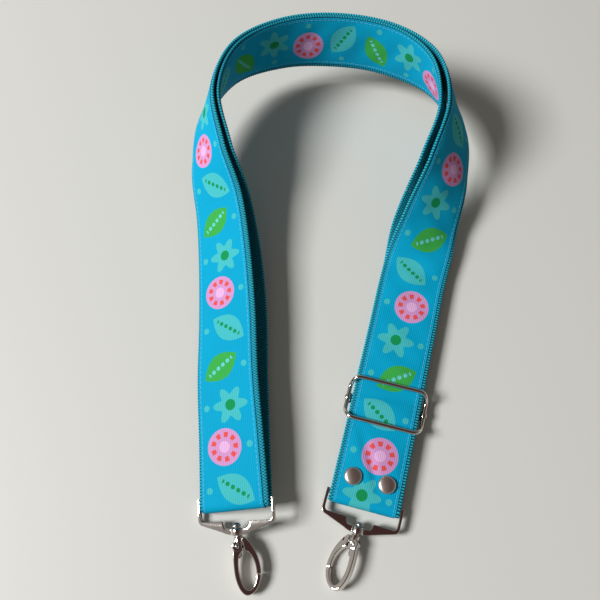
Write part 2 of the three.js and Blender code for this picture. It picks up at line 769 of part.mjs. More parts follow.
// Torsion spring on the gate's pin: one turn and a leg that runs down into the eye
function gateSpring() {
  const radius = gatePinDiameter / 2 + clearance + springWire / 2;
  const low = clearance + springWire / 2 - slotDepth / 2;
  const pitch = springWire + clearance;
  const turns = range(0, springTurns, roundSides / 2).map((turn) => new THREE.Vector3(
    gatePivot.x + radius * Math.cos(2 * Math.PI * turn - Math.PI / 2),
    gatePivot.y - radius * Math.sin(2 * Math.PI * turn - Math.PI / 2),
    low + pitch * turn,
  ));
  const leg = range(0, eyeTop + hookWireWidth - gatePivot.y, springLegSteps).slice(1).map((distance) => (
    new THREE.Vector3(gatePivot.x + radius, gatePivot.y + distance, low + pitch * springTurns)
  ));
  const section = new THREE.Shape();
  section.absarc(0, 0, springWire / 2, 0, 2 * Math.PI);
  return new THREE.ExtrudeGeometry(section, {
    steps: springSteps,
    extrudePath: new THREE.CatmullRomCurve3([...turns, ...leg]),
    bevelEnabled: false,
    curveSegments: springSides,
  });
}

function clasp(side, bar, axes, drop, swing, hookTilt, hookRoll) {
  const group = new THREE.Group();
  const turn = new THREE.Matrix4().makeBasis(...axes);
  const slack = Math.abs(Math.sin(swing)) * webbingWidth / 2;
  group.position.copy(bar).addScaledVector(axes[1], -slack);
  group.quaternion.setFromRotationMatrix(turn);
  group.rotateX(drop);
  group.rotateZ(swing);
  group.add(piece(`${side}_clasp_frame`, claspFrame(), nickelFinish));
  const swivel = new THREE.Group();
  const bossCentre = notchFloor + claspBossDepth / 2;
  swivel.position.set(0, bossCentre, 0);
  swivel.rotateZ(-hookTilt);
  swivel.rotateY(hookRoll);
  group.add(swivel);
  const post = piece(`${side}_swivel_post`, swivelPost(), steelFinish);
  post.position.set(0, -bossCentre, 0);
  const hook = new THREE.Group();
  hook.position.set(0, neckTop - bossCentre, 0);
  hook.add(piece(`${side}_hook`, hookBody(), nickelFinish));
  hook.add(piece(`${side}_gate`, gateBody(), nickelFinish));
  hook.add(piece(`${side}_gate_pin`, gatePin(), steelFinish));
  hook.add(piece(`${side}_gate_spring`, gateSpring(), steelFinish));
  swivel.add(post, hook);
  return group;
}

// Turn about the bar that lets a hook, turned about its own length, sink onto the table
const claspReach = neckTop + eyeCentre + eyeHalfLength;

function dropOf(bar, axes, hookTurn) {
  const edge = eyeHalfWidth * Math.sin(hookTurn);
  const rim = Math.hypot(wireHalf * Math.sin(hookTurn), (hookWireThickness / 2) * Math.cos(hookTurn));
  const sink = (bar.z - tableGap - edge - rim) / claspReach;
  const [dip, level] = [axes[1].z, axes[2].z];
  const turn = Math.asin(sink / Math.hypot(dip, level)) + Math.atan2(dip, Math.abs(level));
  return -Math.sign(level) * turn;
}

// Turn about its own length that lays a dropped hook level
function rollOf(axes, drop) {
  const level = axes[2].z * Math.cos(drop) - axes[1].z * Math.sin(drop);
  return Math.atan(axes[0].z / level);
}

const leftAxes = [leftEnd.side, leftAway, leftEnd.out.clone().negate()];
const rightAxes = [rightEnd.side, rightAway, rightEnd.out];

const strap = new THREE.Group();
strap.add(...strapPieces(), ...rivetPieces(), sliderPieces());
const leftDrop = dropOf(leftBar, leftAxes, 0);
const leftRoll = rollOf(leftAxes, leftDrop);
strap.add(clasp('left', leftBar, leftAxes, leftDrop, leftClaspSwing, leftHookTilt, leftRoll));
const rightDrop = dropOf(rightBar, rightAxes, rightHookTurn);
strap.add(clasp('right', rightBar, rightAxes, rightDrop, rightClaspSwing, rightHookTilt, rightHookTurn));

// Origin: middle of the strap's footprint, on the table
const bounds = new THREE.Box3().setFromObject(strap, true);
const middle = bounds.getCenter(new THREE.Vector3());
strap.position.set(-middle.x, -middle.y, -bounds.min.z);

export default strap;
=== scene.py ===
# %% [markdown]
# # A detachable bag strap, dressed in Blender
# The strap is a doubled loop of heavy webbing with a printed grosgrain ribbon sewn on its face.
# A slide adjuster and two cap rivets sit on the right leg, and each end carries a swivel clasp.
# The imported model is loaded first, because every visible piece is built on its joints and bodies.

# %% The imported model, on an empty stage
import json
import math

import bmesh
import bpy
import numpy as np
from mathutils import Matrix, Vector

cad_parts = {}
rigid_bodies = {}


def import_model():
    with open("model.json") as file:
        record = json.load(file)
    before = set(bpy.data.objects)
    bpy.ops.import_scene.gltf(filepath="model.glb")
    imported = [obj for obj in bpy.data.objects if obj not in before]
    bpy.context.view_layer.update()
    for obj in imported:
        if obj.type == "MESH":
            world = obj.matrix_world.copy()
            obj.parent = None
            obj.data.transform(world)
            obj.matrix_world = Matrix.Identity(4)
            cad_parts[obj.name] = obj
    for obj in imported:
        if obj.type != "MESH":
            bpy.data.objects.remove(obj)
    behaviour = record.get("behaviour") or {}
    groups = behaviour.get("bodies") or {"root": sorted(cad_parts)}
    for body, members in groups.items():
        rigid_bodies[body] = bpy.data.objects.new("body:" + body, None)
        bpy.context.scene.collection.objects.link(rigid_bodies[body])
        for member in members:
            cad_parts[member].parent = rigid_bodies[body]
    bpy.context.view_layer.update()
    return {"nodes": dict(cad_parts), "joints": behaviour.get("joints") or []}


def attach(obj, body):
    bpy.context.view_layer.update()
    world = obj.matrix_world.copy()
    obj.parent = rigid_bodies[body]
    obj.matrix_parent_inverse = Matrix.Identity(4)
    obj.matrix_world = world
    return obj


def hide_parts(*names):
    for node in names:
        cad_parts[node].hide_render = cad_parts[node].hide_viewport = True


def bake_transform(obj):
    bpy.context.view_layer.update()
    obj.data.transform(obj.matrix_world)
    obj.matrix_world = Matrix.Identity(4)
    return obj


for thing in list(bpy.data.objects):
    bpy.data.objects.remove(thing)
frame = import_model()
joints = {joint["name"]: joint for joint in frame["joints"]}
mm = 0.001
tiny = 0.01 * mm

# %% [markdown]
# ## Camera
# The photograph was taken from above, leaning back a little from the strap's ends, with a short
# zoom. The camera was fitted once to the strap's measured outline, so it only has to be set here.
# It aims at the point from which the strap's route is measured further down.

# %% Camera over the table
bpy.ops.object.camera_add()
camera = bpy.context.active_object
camera.name = "photo_camera"
model_shift = Vector((-19.531513, -1.644720, 0.2)) * mm
aim = model_shift
camera.location = aim + Vector((0, -146.66, 386.08)) * mm
camera.rotation_euler = (aim - camera.location).to_track_quat("-Z", "Y").to_euler()
camera.data.lens = 39.6
camera.data.sensor_width = 36
camera.data.clip_start = 0.01
bpy.context.scene.camera = camera
bpy.context.scene.view_settings.view_transform = "Standard"
print("camera height in mm:", round(camera.location.z / mm, 1))

# %% [markdown]
# ## Small helpers for modelling
# Every piece starts from a primitive and is shaped in edit mode. An operator works on whatever is
# selected, so one helper clears the selection and another selects by place. A last one moves the
# mesh and not its object, so that a finished piece's object stays at the origin.

# %% Opening a piece for editing and closing it
def begin(name):
    """Names the primitive that was just added and opens it for editing."""
    piece = bpy.context.active_object
    piece.name = name
    piece.data.name = name
    bpy.ops.object.transform_apply(location=True, rotation=True, scale=True)
    bpy.ops.object.mode_set(mode="EDIT")
    return piece


def close(piece):
    bpy.ops.object.mode_set(mode="OBJECT")
    return piece


def clear_selection():
    bpy.ops.object.select_all(action="DESELECT")


# %% Selecting by place and moving what is selected
def choose(piece, test, kind="VERT"):
    """Selects the vertices or faces whose place passes the test."""
    bpy.ops.mesh.select_mode(type=kind)
    mesh = bmesh.from_edit_mesh(piece.data)
    for part in (*mesh.verts, *mesh.edges, *mesh.faces):
        part.select = False
    if kind == "VERT":
        for vertex in mesh.verts:
            vertex.select_set(bool(test(vertex.co)))
    elif kind == "EDGE":
        for edge in mesh.edges:
            edge.select_set(bool(test(edge)))
    else:
        for face in mesh.faces:
            face.select_set(bool(test(face.calc_center_median(), face.normal)))
    mesh.select_flush_mode()
    bmesh.update_edit_mesh(piece.data)


def push(piece, test, move):
    choose(piece, test)
    bpy.ops.transform.translate(value=move)


def near(value, wanted, slack=0.02 * mm):
    return abs(value - wanted) < slack


# %% Modifiers, applied at once
def pick(piece):
    clear_selection()
    piece.select_set(True)
    bpy.context.view_layer.objects.active = piece


def modify(piece, kind, **settings):
    """Adds a modifier, sets it up and applies it."""
    pick(piece)
    modifier = piece.modifiers.new(kind, kind)
    for key, value in settings.items():
        setattr(modifier, key, value)
    bpy.ops.object.modifier_apply(modifier=modifier.name)
    return piece


def repeat_along(piece, step, count, **settings):
    """Repeats the piece along Y."""
    return modify(
        piece,
        "ARRAY",
        fit_type="FIXED_COUNT",
        count=count,
        use_relative_offset=False,
        use_constant_offset=True,
        constant_offset_displace=(0, step, 0),
        **settings,
    )


def soften(piece, degrees=40):
    pick(piece)
    bpy.ops.object.shade_smooth_by_angle(angle=math.radians(degrees))
    return piece


# %% Joining, copying and placing
def fuse(name, *parts):
    """Joins parts into one piece."""
    pick(parts[0])
    for part in parts:
        part.select_set(True)
    bpy.ops.object.join()
    parts[0].name = name
    parts[0].data.name = name
    return parts[0]


def twin(piece, name):
    pick(piece)
    bpy.ops.object.duplicate()
    copy = bpy.context.active_object
    copy.name = name
    copy.data.name = name
    return copy


def put(piece, place):
    """Moves the mesh itself, so that the object stays at the origin."""
    piece.data.transform(place)
    piece.data.update()
    return piece


# %% Turning on a lathe
def turned(name, profile, sides=32):
    """A round piece along Z from a list of (radius, height), closed at both ends."""
    clear_selection()
    radius, height = profile[0]
    bpy.ops.mesh.primitive_circle_add(
        vertices=sides, radius=radius, fill_type="NGON", location=(0, 0, height)
    )
    piece = begin(name)
    bpy.ops.mesh.select_all(action="SELECT")
    for wide, high in profile[1:]:
        bpy.ops.mesh.extrude_region_move(
            TRANSFORM_OT_translate={"value": (0, 0, high - height)}
        )
        bpy.ops.transform.resize(value=(wide / radius, wide / radius, 1))
        radius, height = wide, high
    bpy.ops.mesh.select_all(action="SELECT")
    bpy.ops.mesh.normals_make_consistent(inside=False)
    return soften(close(piece))


# %% [markdown]
# ## Where the strap runs
# The webbing lies on the table by its lower edge, leans up on its side round the top and lies flat
# at both ends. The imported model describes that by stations: where each one is, how high its lower
# edge is lifted, how far the width leans, how far apart the two layers are, how far the inner one
# slips up and how much flatter it lies. The same table is repeated here, because the strap's pieces
# are made flat and then laid along it.

# %% Sizes of the strap
webbing_width = 40 * mm
webbing_thickness = 1.8 * mm
ribbon_width = 35 * mm
layer_gap = 0.3 * mm
ribbon_stack = 0.5 * mm
table_clearance = 0.1 * mm
face_height = webbing_thickness / 2 + layer_gap + ribbon_stack
fold_spacing = 5.4 * mm
layer_step = 2.1 * mm
slider_spacing = 5.7 * mm
tail_length = 22 * mm
tail_pinch_start = 1.5 * mm
tail_pinch = 5.8 * mm
slider_distance = 55.4 * mm
loop_overlap = 25 * mm
loop_cut_station = 14.6
print("webbing in mm:", round(webbing_width / mm, 1), "x", round(webbing_thickness / mm, 1))

# %% Stations of the route
route_span = 300 * mm
station_step = 35 * mm
leg_bearing = math.radians(14.6)
leg_foot = Vector((0.119, -0.406, 0)) * route_span
route_table = [
    (-0.119, -0.408, 0, 15, 1, 0, 0),
    (-0.129, -0.295, 0, 20.5, 0.9, 0, 7),
    (-0.14, -0.178, 0, 24, 0.8, 0.01, 15),
    (-0.1455, -0.058, 0, 27.5, 0.75, 0.01, 17.5),
    (-0.1545, 0.061, 0, 32, 0.75, 0.01, 12.5),
    (-0.168, 0.178, 0.012, 39, 0.8, 0.01, 4.5),
    (-0.191, 0.285, 0.045, 55, 0.75, 0.01, 1),
    (-0.193, 0.395, 0.07, 72, 0.65, 0, 0),
    (-0.14, 0.494, 0.078, 84, 0.5, 0, 0),
    (-0.037, 0.547, 0.076, 94.5, 0.42, 0, 0),
    (0.079, 0.557, 0.075, 99.5, 0.4, 0, 0),
    (0.194, 0.532, 0.075, 97, 0.45, 0, 0),
    (0.289, 0.467, 0.074, 82.5, 0.8, 0, 0),
    (0.326, 0.359, 0.067, 63.5, 1, 0, 0),
    (0.307, 0.249, 0.044, 46, 1, 0.05, 0),
    (0.271, 0.148, 0.01, 27, 0.95, 0.06, 0),
]
stations = [
    (
        across * route_span,
        away * route_span,
        lift * route_span,
        math.radians(lean),
        spacing * fold_spacing,
        slip * webbing_width,
        math.radians(spread),
    )
    for across, away, lift, lean, spacing, slip, spread in route_table
]
for step in (4, 3, 2, 1, 0):
    up_leg = Vector((math.sin(leg_bearing), math.cos(leg_bearing), 0)) * step * station_step
    spot = leg_foot + up_leg
    stations.append((spot.x, spot.y, 0, 0, slider_spacing, 0, 0))
last_station = len(stations) - 1
print("stations:", len(stations))


# %% A smooth line through the stations
def slope(before, after, column):
    """The line's slope at a station; lifts and leans get one that never overshoots."""
    if column < 2:
        return (before + after) / 2
    return 2 * before * after / (before + after) if before * after > 0 else 0


def row_at(place):
    i = min(max(math.floor(place), 0), last_station - 1)
    t = place - i
    here, ahead = stations[i], stations[i + 1]
    behind = stations[i - 1] if i > 0 else [2 * x - y for x, y in zip(here, ahead)]
    if i + 2 <= last_station:
        beyond = stations[i + 2]
    else:
        beyond = [2 * y - x for x, y in zip(here, ahead)]
    row = []
    for column, (w, x, y, z) in enumerate(zip(behind, here, ahead, beyond)):
        rise = y - x
        start, end = slope(x - w, rise, column), slope(rise, z - y, column)
        square, cube = 3 * rise - 2 * start - end, start + end - 2 * rise
        row.append(x + start * t + square * t**2 + cube * t**3)
    return row


def centre_at(place):
    across, away, lift, lean, spacing = row_at(place)[:5]
    stack = (spacing + face_height + table_clearance) * math.cos(lean)
    height = lift + stack + math.sin(lean) * webbing_width / 2
    return Vector((across, away, height)) + model_shift


# %% Both layers at a place on the route
def outer_at(place):
    """Centre of the outer layer with its ways across, outwards and along."""
    lean = row_at(place)[3]
    along = (centre_at(place + 0.001) - centre_at(place - 0.001)).normalized()
    level = along.cross(Vector((0, 0, 1))).normalized()
    raised = level.cross(along)
    side = level * math.cos(lean) + raised * math.sin(lean)
    return centre_at(place), side, side.cross(along), along


def inner_at(place):
    """The inner layer lies under the outer one, turned flatter about its low edge."""
    point, side, out, along = outer_at(place)
    lean, spacing, slip, spread = row_at(place)[3:]
    flatter = side * math.cos(spread) - out * math.sin(spread)
    settle = Vector((0, 0, face_height * (math.cos(lean - spread) - math.cos(lean))))
    low_edge = point - out * spacing + settle + side * (slip - webbing_width / 2)
    return low_edge + flatter * webbing_width / 2, flatter, along.cross(flatter)


def share(start, stop, steps):
    return [start + (stop - start) * i / steps for i in range(steps + 1)]


# %% Folds round the clasps and the flat right leg
left_point, left_side, left_out, left_along = outer_at(0)
right_point, right_side, right_out, right_away = outer_at(last_station)
fold_radius = fold_spacing / 2
left_bar = left_point - left_out * fold_radius
right_bar = right_point - right_out * fold_radius
print("fold radius in mm:", round(fold_radius / mm, 2))


def fold(centre, away, out, side, radius, steps=16):
    turn = []
    for angle in share(0, math.pi, steps)[1:-1]:
        normal = out * math.cos(angle) + away * math.sin(angle)
        turn.append((centre + normal * radius, side, normal))
    return turn


def on_leg(distance, height, out):
    """A place on the straight right leg, up from the clasp's bar and over the outer layer."""
    return right_point - right_away * distance + right_out * height, right_side, out


def ease(value, start, stop):
    t = min(max((value - start) / (stop - start), 0), 1)
    return t * t * (3 - 2 * t)


# %% The long run of webbing
def long_run():
    """Tail, right fold, outer layer over the top, left fold and inner layer back to the cut."""
    down = -right_out
    tail = [on_leg(tail_length, -layer_step, down)]
    for distance in share(tail_pinch_start + tail_pinch, tail_pinch_start, 8):
        pinch = ease(distance, tail_pinch_start, tail_pinch_start + tail_pinch)
        tail.append(on_leg(distance, -fold_spacing + (fold_spacing - layer_step) * pinch, down))
    tail.append(on_leg(0, -fold_spacing, down))
    right_fold = fold(right_bar, right_away, right_out, right_side, fold_radius)[::-1]
    outer = [outer_at(place)[:3] for place in share(last_station, 0, last_station * 20)]
    left_fold = fold(left_bar, -left_along, left_out, left_side, fold_radius)
    inner = [inner_at(place) for place in share(0, loop_cut_station, 292)]
    return tail + right_fold + outer + left_fold + inner


# %% The short loop sewn round the adjuster's bar
loop_start = loop_cut_station + layer_gap / station_step
loop_stop = last_station - (slider_distance + loop_overlap + tail_pinch) / station_step
slider_bar_half = 3 * mm
slider_bar_thickness = 1.2 * mm


def bar_loop(with_turn=True):
    """Lower end of the inner layer: down the leg, round the slider's bar and back over itself."""
    down = -right_out
    radius = slider_bar_thickness / 2 + layer_gap + webbing_thickness / 2
    edge = slider_distance - slider_bar_half
    under = on_leg(edge, -slider_spacing, down)
    run = [inner_at(place) for place in share(loop_start, loop_stop, 60)] + [under]
    if not with_turn:
        return run
    turn = fold(under[0] + right_out * radius, right_away, down, right_side, radius)
    over, lapped = 2 * radius - slider_spacing, layer_step - slider_spacing
    flat = slider_distance + 2 * slider_bar_half
    back = [on_leg(edge, over, right_out)]
    for distance in share(flat, flat + tail_pinch, 8):
        climb = ease(distance, flat, flat + tail_pinch)
        back.append(on_leg(distance, over + (lapped - over) * climb, right_out))
    back.append(on_leg(slider_distance + loop_overlap, lapped, right_out))
    return run + turn + back


# %% Lengths of both runs
def length_of(route):
    return sum((b[0] - a[0]).length for a, b in zip(route, route[1:]))


long_route, loop_route, loop_ribbon_route = long_run(), bar_loop(), bar_loop(False)
long_length, loop_length = length_of(long_route), length_of(loop_route)
loop_ribbon_length = length_of(loop_ribbon_route)
print("webbing in mm: long", round(long_length / mm), "loop", round(loop_length / mm))


# %% [markdown]
# ## Laying a flat piece along the route
# A strap is woven flat, so each of its pieces is modelled flat too: X across, Y along and Z out of
# the printed face. A curve modifier would twist where the strap leans over, so one small function
# carries every vertex to its place on the route. Before that, the flat place is kept as the UV map,
# in metres, and weave and print follow the cloth wherever it bends.

# %% Keeping the flat place as a UV map
def map_flat(piece, start=0.0):
    """UV = place across and along the flat strap, in metres."""
    mesh = piece.data
    spots = np.empty(len(mesh.vertices) * 3)
    mesh.vertices.foreach_get("co", spots)
    spots = spots.reshape(-1, 3)
    corners = np.empty(len(mesh.loops), int)
    mesh.loops.foreach_get("vertex_index", corners)
    while mesh.uv_layers:
        mesh.uv_layers.remove(mesh.uv_layers[0])
    layer = mesh.uv_layers.new(name="flat")
    layer.data.foreach_set("uv", (spots[corners][:, :2] + (0, start)).ravel())


# %% Carrying the flat piece to its place
def lay(piece, route, drift=None):
    """Carries a flat piece onto its route; drift says how far off the middle it is sewn."""
    mesh = piece.data
    spots = np.empty(len(mesh.vertices) * 3)
    mesh.vertices.foreach_get("co", spots)
    across, along, height = spots.reshape(-1, 3).T
    if drift:
        across = across + drift(along)
    points, sides, outs = (np.array([list(stop[k]) for stop in route]) for k in range(3))
    way = np.concatenate([[0], np.cumsum(np.linalg.norm(np.diff(points, axis=0), axis=1))])
    point, side, out = (
        np.stack([np.interp(along, way, column[:, k]) for k in range(3)], axis=1)
        for column in (points, sides, outs)
    )
    side /= np.linalg.norm(side, axis=1, keepdims=True)
    out /= np.linalg.norm(out, axis=1, keepdims=True)
    laid = point + side * across[:, None] + out * height[:, None]
    mesh.vertices.foreach_set("co", laid.ravel())
    mesh.update()
    return piece


# %% [markdown]
# ## Webbing
# Heavy webbing is woven from thick round yarns, so its face shows rows of small hard floats, each
# row half a step from the next, and its edge is a chain of beads. A bump texture alone would leave
# the edge straight, so one step of the weave is modelled and repeated along the whole length.
# Only the borders beside the ribbon are modelled finely, because the ribbon covers the middle.

# %% One step of the weave
weave_step = 1.6 * mm
float_height = 0.2 * mm
yarn_rows = [19.35 * mm, 18.05 * mm, 16.75 * mm]
yarn_valleys = [18.7 * mm, 17.4 * mm, 16.1 * mm]
edge_draw_in, edge_drop = 0.25 * mm, 0.42 * mm
bead_swell, valley_depth = 0.17 * mm, 0.12 * mm

clear_selection()
bpy.ops.mesh.primitive_cube_add(size=1, location=(0, weave_step / 2, 0))
bpy.context.active_object.scale = (webbing_width, weave_step, webbing_thickness)
weave = begin("weave_step")
for line in (0, *yarn_rows, *yarn_valleys):
    for sign in (1, -1) if line else (1,):
        bpy.ops.mesh.select_all(action="SELECT")
        bpy.ops.mesh.bisect(plane_co=(sign * line, 0, 0), plane_no=(1, 0, 0))
for quarter in (1, 2, 3):
    bpy.ops.mesh.select_all(action="SELECT")
    bpy.ops.mesh.bisect(plane_co=(0, weave_step * quarter / 4, 0), plane_no=(0, 1, 0))
bpy.ops.mesh.select_all(action="SELECT")
bpy.ops.mesh.bisect(plane_co=(0, 0, 0), plane_no=(0, 0, 1))
print("faces in one step:", len(bmesh.from_edit_mesh(weave.data).faces))

# %% Floats, valleys and the beaded edge
edge_line = webbing_width / 2
for sign in (1, -1):
    for face in (1, -1):
        rim = (lambda co, s=sign, f=face: near(co.x, s * edge_line) and co.z * f > 0.1 * mm)
        push(weave, rim, (-edge_draw_in * sign, 0, -edge_drop * face))
    for beat, swell in ((1, 1), (3, -1)):
        bead = (
            lambda co, s=sign, b=beat: co.x * s > edge_line - 0.3 * mm
            and near(co.y, weave_step * b / 4)
        )
        push(weave, bead, (bead_swell * sign * swell, 0, 0))
for face in (1, -1):
    for number, row in enumerate(yarn_rows):
        for sign in (1, -1):
            turns = -1 if number % 2 and sign > 0 else 1
            for beat, swell in ((1, 1), (3, -1)):
                spot = (
                    lambda co, r=sign * row, f=face, b=beat: near(co.x, r)
                    and near(co.y, weave_step * b / 4)
                    and co.z * f > 0.3 * mm
                )
                push(weave, spot, (0, 0, float_height * face * swell * turns))
    for row in yarn_valleys:
        valley = (lambda co, r=row, f=face: near(abs(co.x), r) and co.z * f > 0.3 * mm)
        push(weave, valley, (0, 0, -valley_depth * face))
choose(weave, lambda co, normal: abs(normal.y) > 0.7, "FACE")
bpy.ops.mesh.delete(type="ONLY_FACE")
close(weave)
print("faces left in one step:", len(weave.data.polygons))


# %% Weaving a length
def weave_length(name, length):
    """Repeats the step along the length, closes both cut ends and keeps the flat place."""
    piece = twin(weave, name)
    count = round(length / weave_step)
    repeat_along(piece, weave_step, count, use_merge_vertices=True, merge_threshold=tiny)
    put(piece, Matrix.Diagonal((1, length / (count * weave_step), 1, 1)))
    bpy.ops.object.mode_set(mode="EDIT")
    for end in (0, length):
        choose(piece, lambda co, e=end: near(co.y, e))
        bpy.ops.mesh.edge_face_add()
    bpy.ops.mesh.select_all(action="SELECT")
    bpy.ops.mesh.normals_make_consistent(inside=False)
    close(piece)
    map_flat(piece)
    return piece


webbing_long = lay(weave_length("webbing_long", long_length), long_route)
webbing_loop = lay(weave_length("webbing_loop", loop_length), loop_route)
bpy.data.objects.remove(weave)
for piece in (webbing_long, webbing_loop):
    soften(piece, 60)
    print(piece.name, "triangles:", sum(len(p.vertices) - 2 for p in piece.data.polygons))


# %% [markdown]
# ## Ribbon
# The printed ribbon is sewn down along both edges, so between the two seams it is free to rise in
# soft puckers: hardly any where the strap is pulled straight on the left leg, more on the inside of
# the bend, and a few folds between slider and rivets, kept low for the adjuster's rail that slides
# over them. A grid takes these waves before it is laid, and Solidify gives it a cloth's thickness.

# %% Puckers between the two seams
ribbon_base = webbing_thickness / 2 + 0.2 * mm
ribbon_cloth = 0.3 * mm
ribbon_columns, ribbon_row = 28, 1.5 * mm
seam_line = ribbon_width / 2 - 1.3 * mm
rivet_up, rivet_across = 11.8 * mm, 9.6 * mm
rails_up = (43.3 * mm, 67.5 * mm)


def wave(across, along, seed):
    """Smooth, slightly slanting waves between 0 and 1, the same on every run."""
    a = np.sin(2 * np.pi * (along / (33 * mm) + 0.9 * across / ribbon_width) + seed)
    b = np.sin(2 * np.pi * (along / (19 * mm) - 1.1 * across / ribbon_width) + 2.1 * seed)
    c = np.sin(2 * np.pi * (along / (53 * mm) + 0.4 * across / ribbon_width) + 0.7 * seed)
    return np.clip(0.5 + 0.25 * a + 0.15 * b + 0.2 * c, 0, 1)


def bump_at(value, centre, reach):
    return np.exp(-((value - centre) / reach) ** 2)


tail_and_fold = tail_length + math.pi * fold_radius
outer_length = length_of([outer_at(place)[:3] for place in share(last_station, 0, 400)])


def places_along(along):
    """Distances up the right leg from its bar, and along the inner layer from the left bar."""
    up_leg = along - tail_and_fold
    return up_leg, up_leg - outer_length - math.pi * fold_radius


def ribbon_drift(along):
    """The ribbon is sewn by eye: nearer the low edge outside and the high edge inside."""
    up_leg, inner = places_along(along)
    outer_shift = np.interp(up_leg, [250 * mm, 330 * mm], [0, -0.8 * mm])
    inner_shift = np.interp(inner, [60 * mm, 200 * mm], [0, 1.8 * mm])
    return outer_shift + inner_shift


def free_of_seams(across):
    """0 at both seams and 1 in the middle, where the ribbon may rise."""
    return np.clip(1 - (across / seam_line) ** 2, 0, 1) ** 0.7


# %% Where the ribbon rises
def long_ribbon_rise(across, along):
    """How far the ribbon stands off the webbing, in metres, over its flat place."""
    free = free_of_seams(across)
    up_leg, inner = places_along(along)
    right_leg = np.clip(up_leg / (60 * mm), 0, 1) * np.clip((330 * mm - up_leg) / (60 * mm), 0, 1)
    arch = np.clip((inner - 190 * mm) / (60 * mm), 0, 1)
    height = 0.15 + 1.1 * right_leg + 1.3 * arch
    rise = height * mm * wave(across, along, 1.3) * free
    # Between the rivets and the adjuster's lower rail the ribbon stands up round a slanting crease.
    span = np.clip(1 - np.abs(up_leg - 23 * mm) / (19 * mm), 0, 1)
    crease = 1 - bump_at(across, -1 * mm + 0.53 * (up_leg - 17.5 * mm), 2.7 * mm)
    rise = np.maximum(rise * (1 - 0.6 * span), 1.5 * mm * free * np.sqrt(span) * crease)
    # Inside the adjuster's frame it swells, with one fold under the upper rail.
    swell = bump_at(up_leg, 56 * mm, 9 * mm)
    pleat = bump_at(up_leg, 61 * mm - 0.18 * across, 2.6 * mm)
    rise = np.maximum(rise, 1.3 * mm * free * swell) * (1 - 0.9 * pleat)
    # Rivets and rails hold it down.
    for side in (-1, 1):
        away = np.hypot(across - side * rivet_across, up_leg - rivet_up)
        rise = rise * (1 - bump_at(away, 0, 6.5 * mm))
    for rail_up in rails_up:
        rise = rise * (1 - 0.9 * bump_at(up_leg, rail_up, 5.5 * mm))
    return rise


def loop_ribbon_rise(across, along):
    return 0.3 * mm * wave(across, along, 4.2) * free_of_seams(across)


print("ribbon stands over the webbing's middle in mm:", round(ribbon_base / mm, 2))


# %% Cutting and laying the ribbon
def ribbon(name, route, length, rise, start=0.0, drift=None):
    clear_selection()
    rows = round(length / ribbon_row)
    bpy.ops.mesh.primitive_grid_add(
        x_subdivisions=ribbon_columns, y_subdivisions=rows, size=1
    )
    bpy.context.active_object.scale = (ribbon_width, length, 1)
    bpy.context.active_object.location = (0, length / 2, ribbon_base)
    piece = close(begin(name))
    spots = np.empty(len(piece.data.vertices) * 3)
    piece.data.vertices.foreach_get("co", spots)
    spots = spots.reshape(-1, 3)
    spots[:, 2] += rise(spots[:, 0], spots[:, 1])
    piece.data.vertices.foreach_set("co", spots.ravel())
    modify(piece, "SOLIDIFY", thickness=ribbon_cloth, offset=1)
    map_flat(piece, start)
    soften(lay(piece, route, drift), 60)
    print(name, "mm long:", round(length / mm), "faces:", len(piece.data.polygons))
    return piece


ribbon_long = ribbon(
    "ribbon_long", long_route, long_length, long_ribbon_rise, drift=ribbon_drift
)
ribbon_loop = ribbon(
    "ribbon_loop", loop_ribbon_route, loop_ribbon_length, loop_ribbon_rise, long_length
)

# %% [markdown]
# ## Stitches
# A lockstitch seam runs down each edge of the ribbon: short raised stitches of pale blue thread.
# One stitch is modelled from a small cube with rounded ends, an array repeats it, and the whole row
# is laid along the route like the cloth.

# %% One stitch
stitch_pitch = 2.9 * mm
clear_selection()
bpy.ops.mesh.primitive_cube_add(size=1, location=(0, stitch_pitch / 2, 0))
bpy.context.active_object.scale = (0.5 * mm, 2.2 * mm, 0.3 * mm)
stitch = begin("stitch")
bpy.ops.mesh.select_all(action="SELECT")
bpy.ops.mesh.bevel(offset=0.15 * mm, segments=2, affect="EDGES", clamp_overlap=True)
push(stitch, lambda co: abs(co.y - stitch_pitch / 2) > 0.9 * mm, (0, 0, -0.12 * mm))
close(stitch)
print("faces in a stitch:", len(stitch.data.polygons))


# %% Rows of stitches
def stitch_row(name, route, length, across, drift=None):
    piece = twin(stitch, name)
    repeat_along(piece, stitch_pitch, int(length / stitch_pitch))
    put(piece, Matrix.Translation((across, 0, ribbon_base + ribbon_cloth + 0.1 * mm)))
    map_flat(piece)
    return soften(lay(piece, route, drift), 50)


stitch_raised, stitch_low = (
    stitch_row(name, long_route, long_length, line, ribbon_drift)
    for name, line in (("stitches_raised", seam_line), ("stitches_low", -seam_line))
)
stitch_loop = fuse(
    "stitches_loop",
    stitch_row("stitches_loop", loop_ribbon_route, loop_ribbon_length, seam_line),
    stitch_row("stitches_loop_low", loop_ribbon_route, loop_ribbon_length, -seam_line),
)
bpy.data.objects.remove(stitch)
print("faces in the raised row:", len(stitch_raised.data.polygons))

# %% [markdown]
# ## Cap rivets
# Two cap rivets hold the right fold: a domed cap pressed onto a post with a flat back. Round pieces
# are turned on the lathe helper: a filled circle, extruded and resized from ring to ring.

# %% Cap, post and back
def in_mm(profile):
    return [(radius * mm, height * mm) for radius, height in profile]


cap = turned(
    "rivet_cap",
    in_mm(
        [
            (4.3, 1.45),
            (4.85, 1.55),
            (5, 1.9),
            (5, 2.5),
            (4.88, 2.95),
            (4.55, 3.35),
            (4, 3.65),
            (3.1, 3.85),
            (1.9, 4),
            (0.8, 4.06),
        ]
    ),
    48,
)
post = turned(
    "rivet_back",
    in_mm([(3.4, -5.05), (4.3, -4.75), (4.5, -4.4), (4.4, -4.15), (1.4, -4.1), (1.4, 1.6)]),
    48,
)
print("cap faces:", len(cap.data.polygons), "post faces:", len(post.data.polygons))

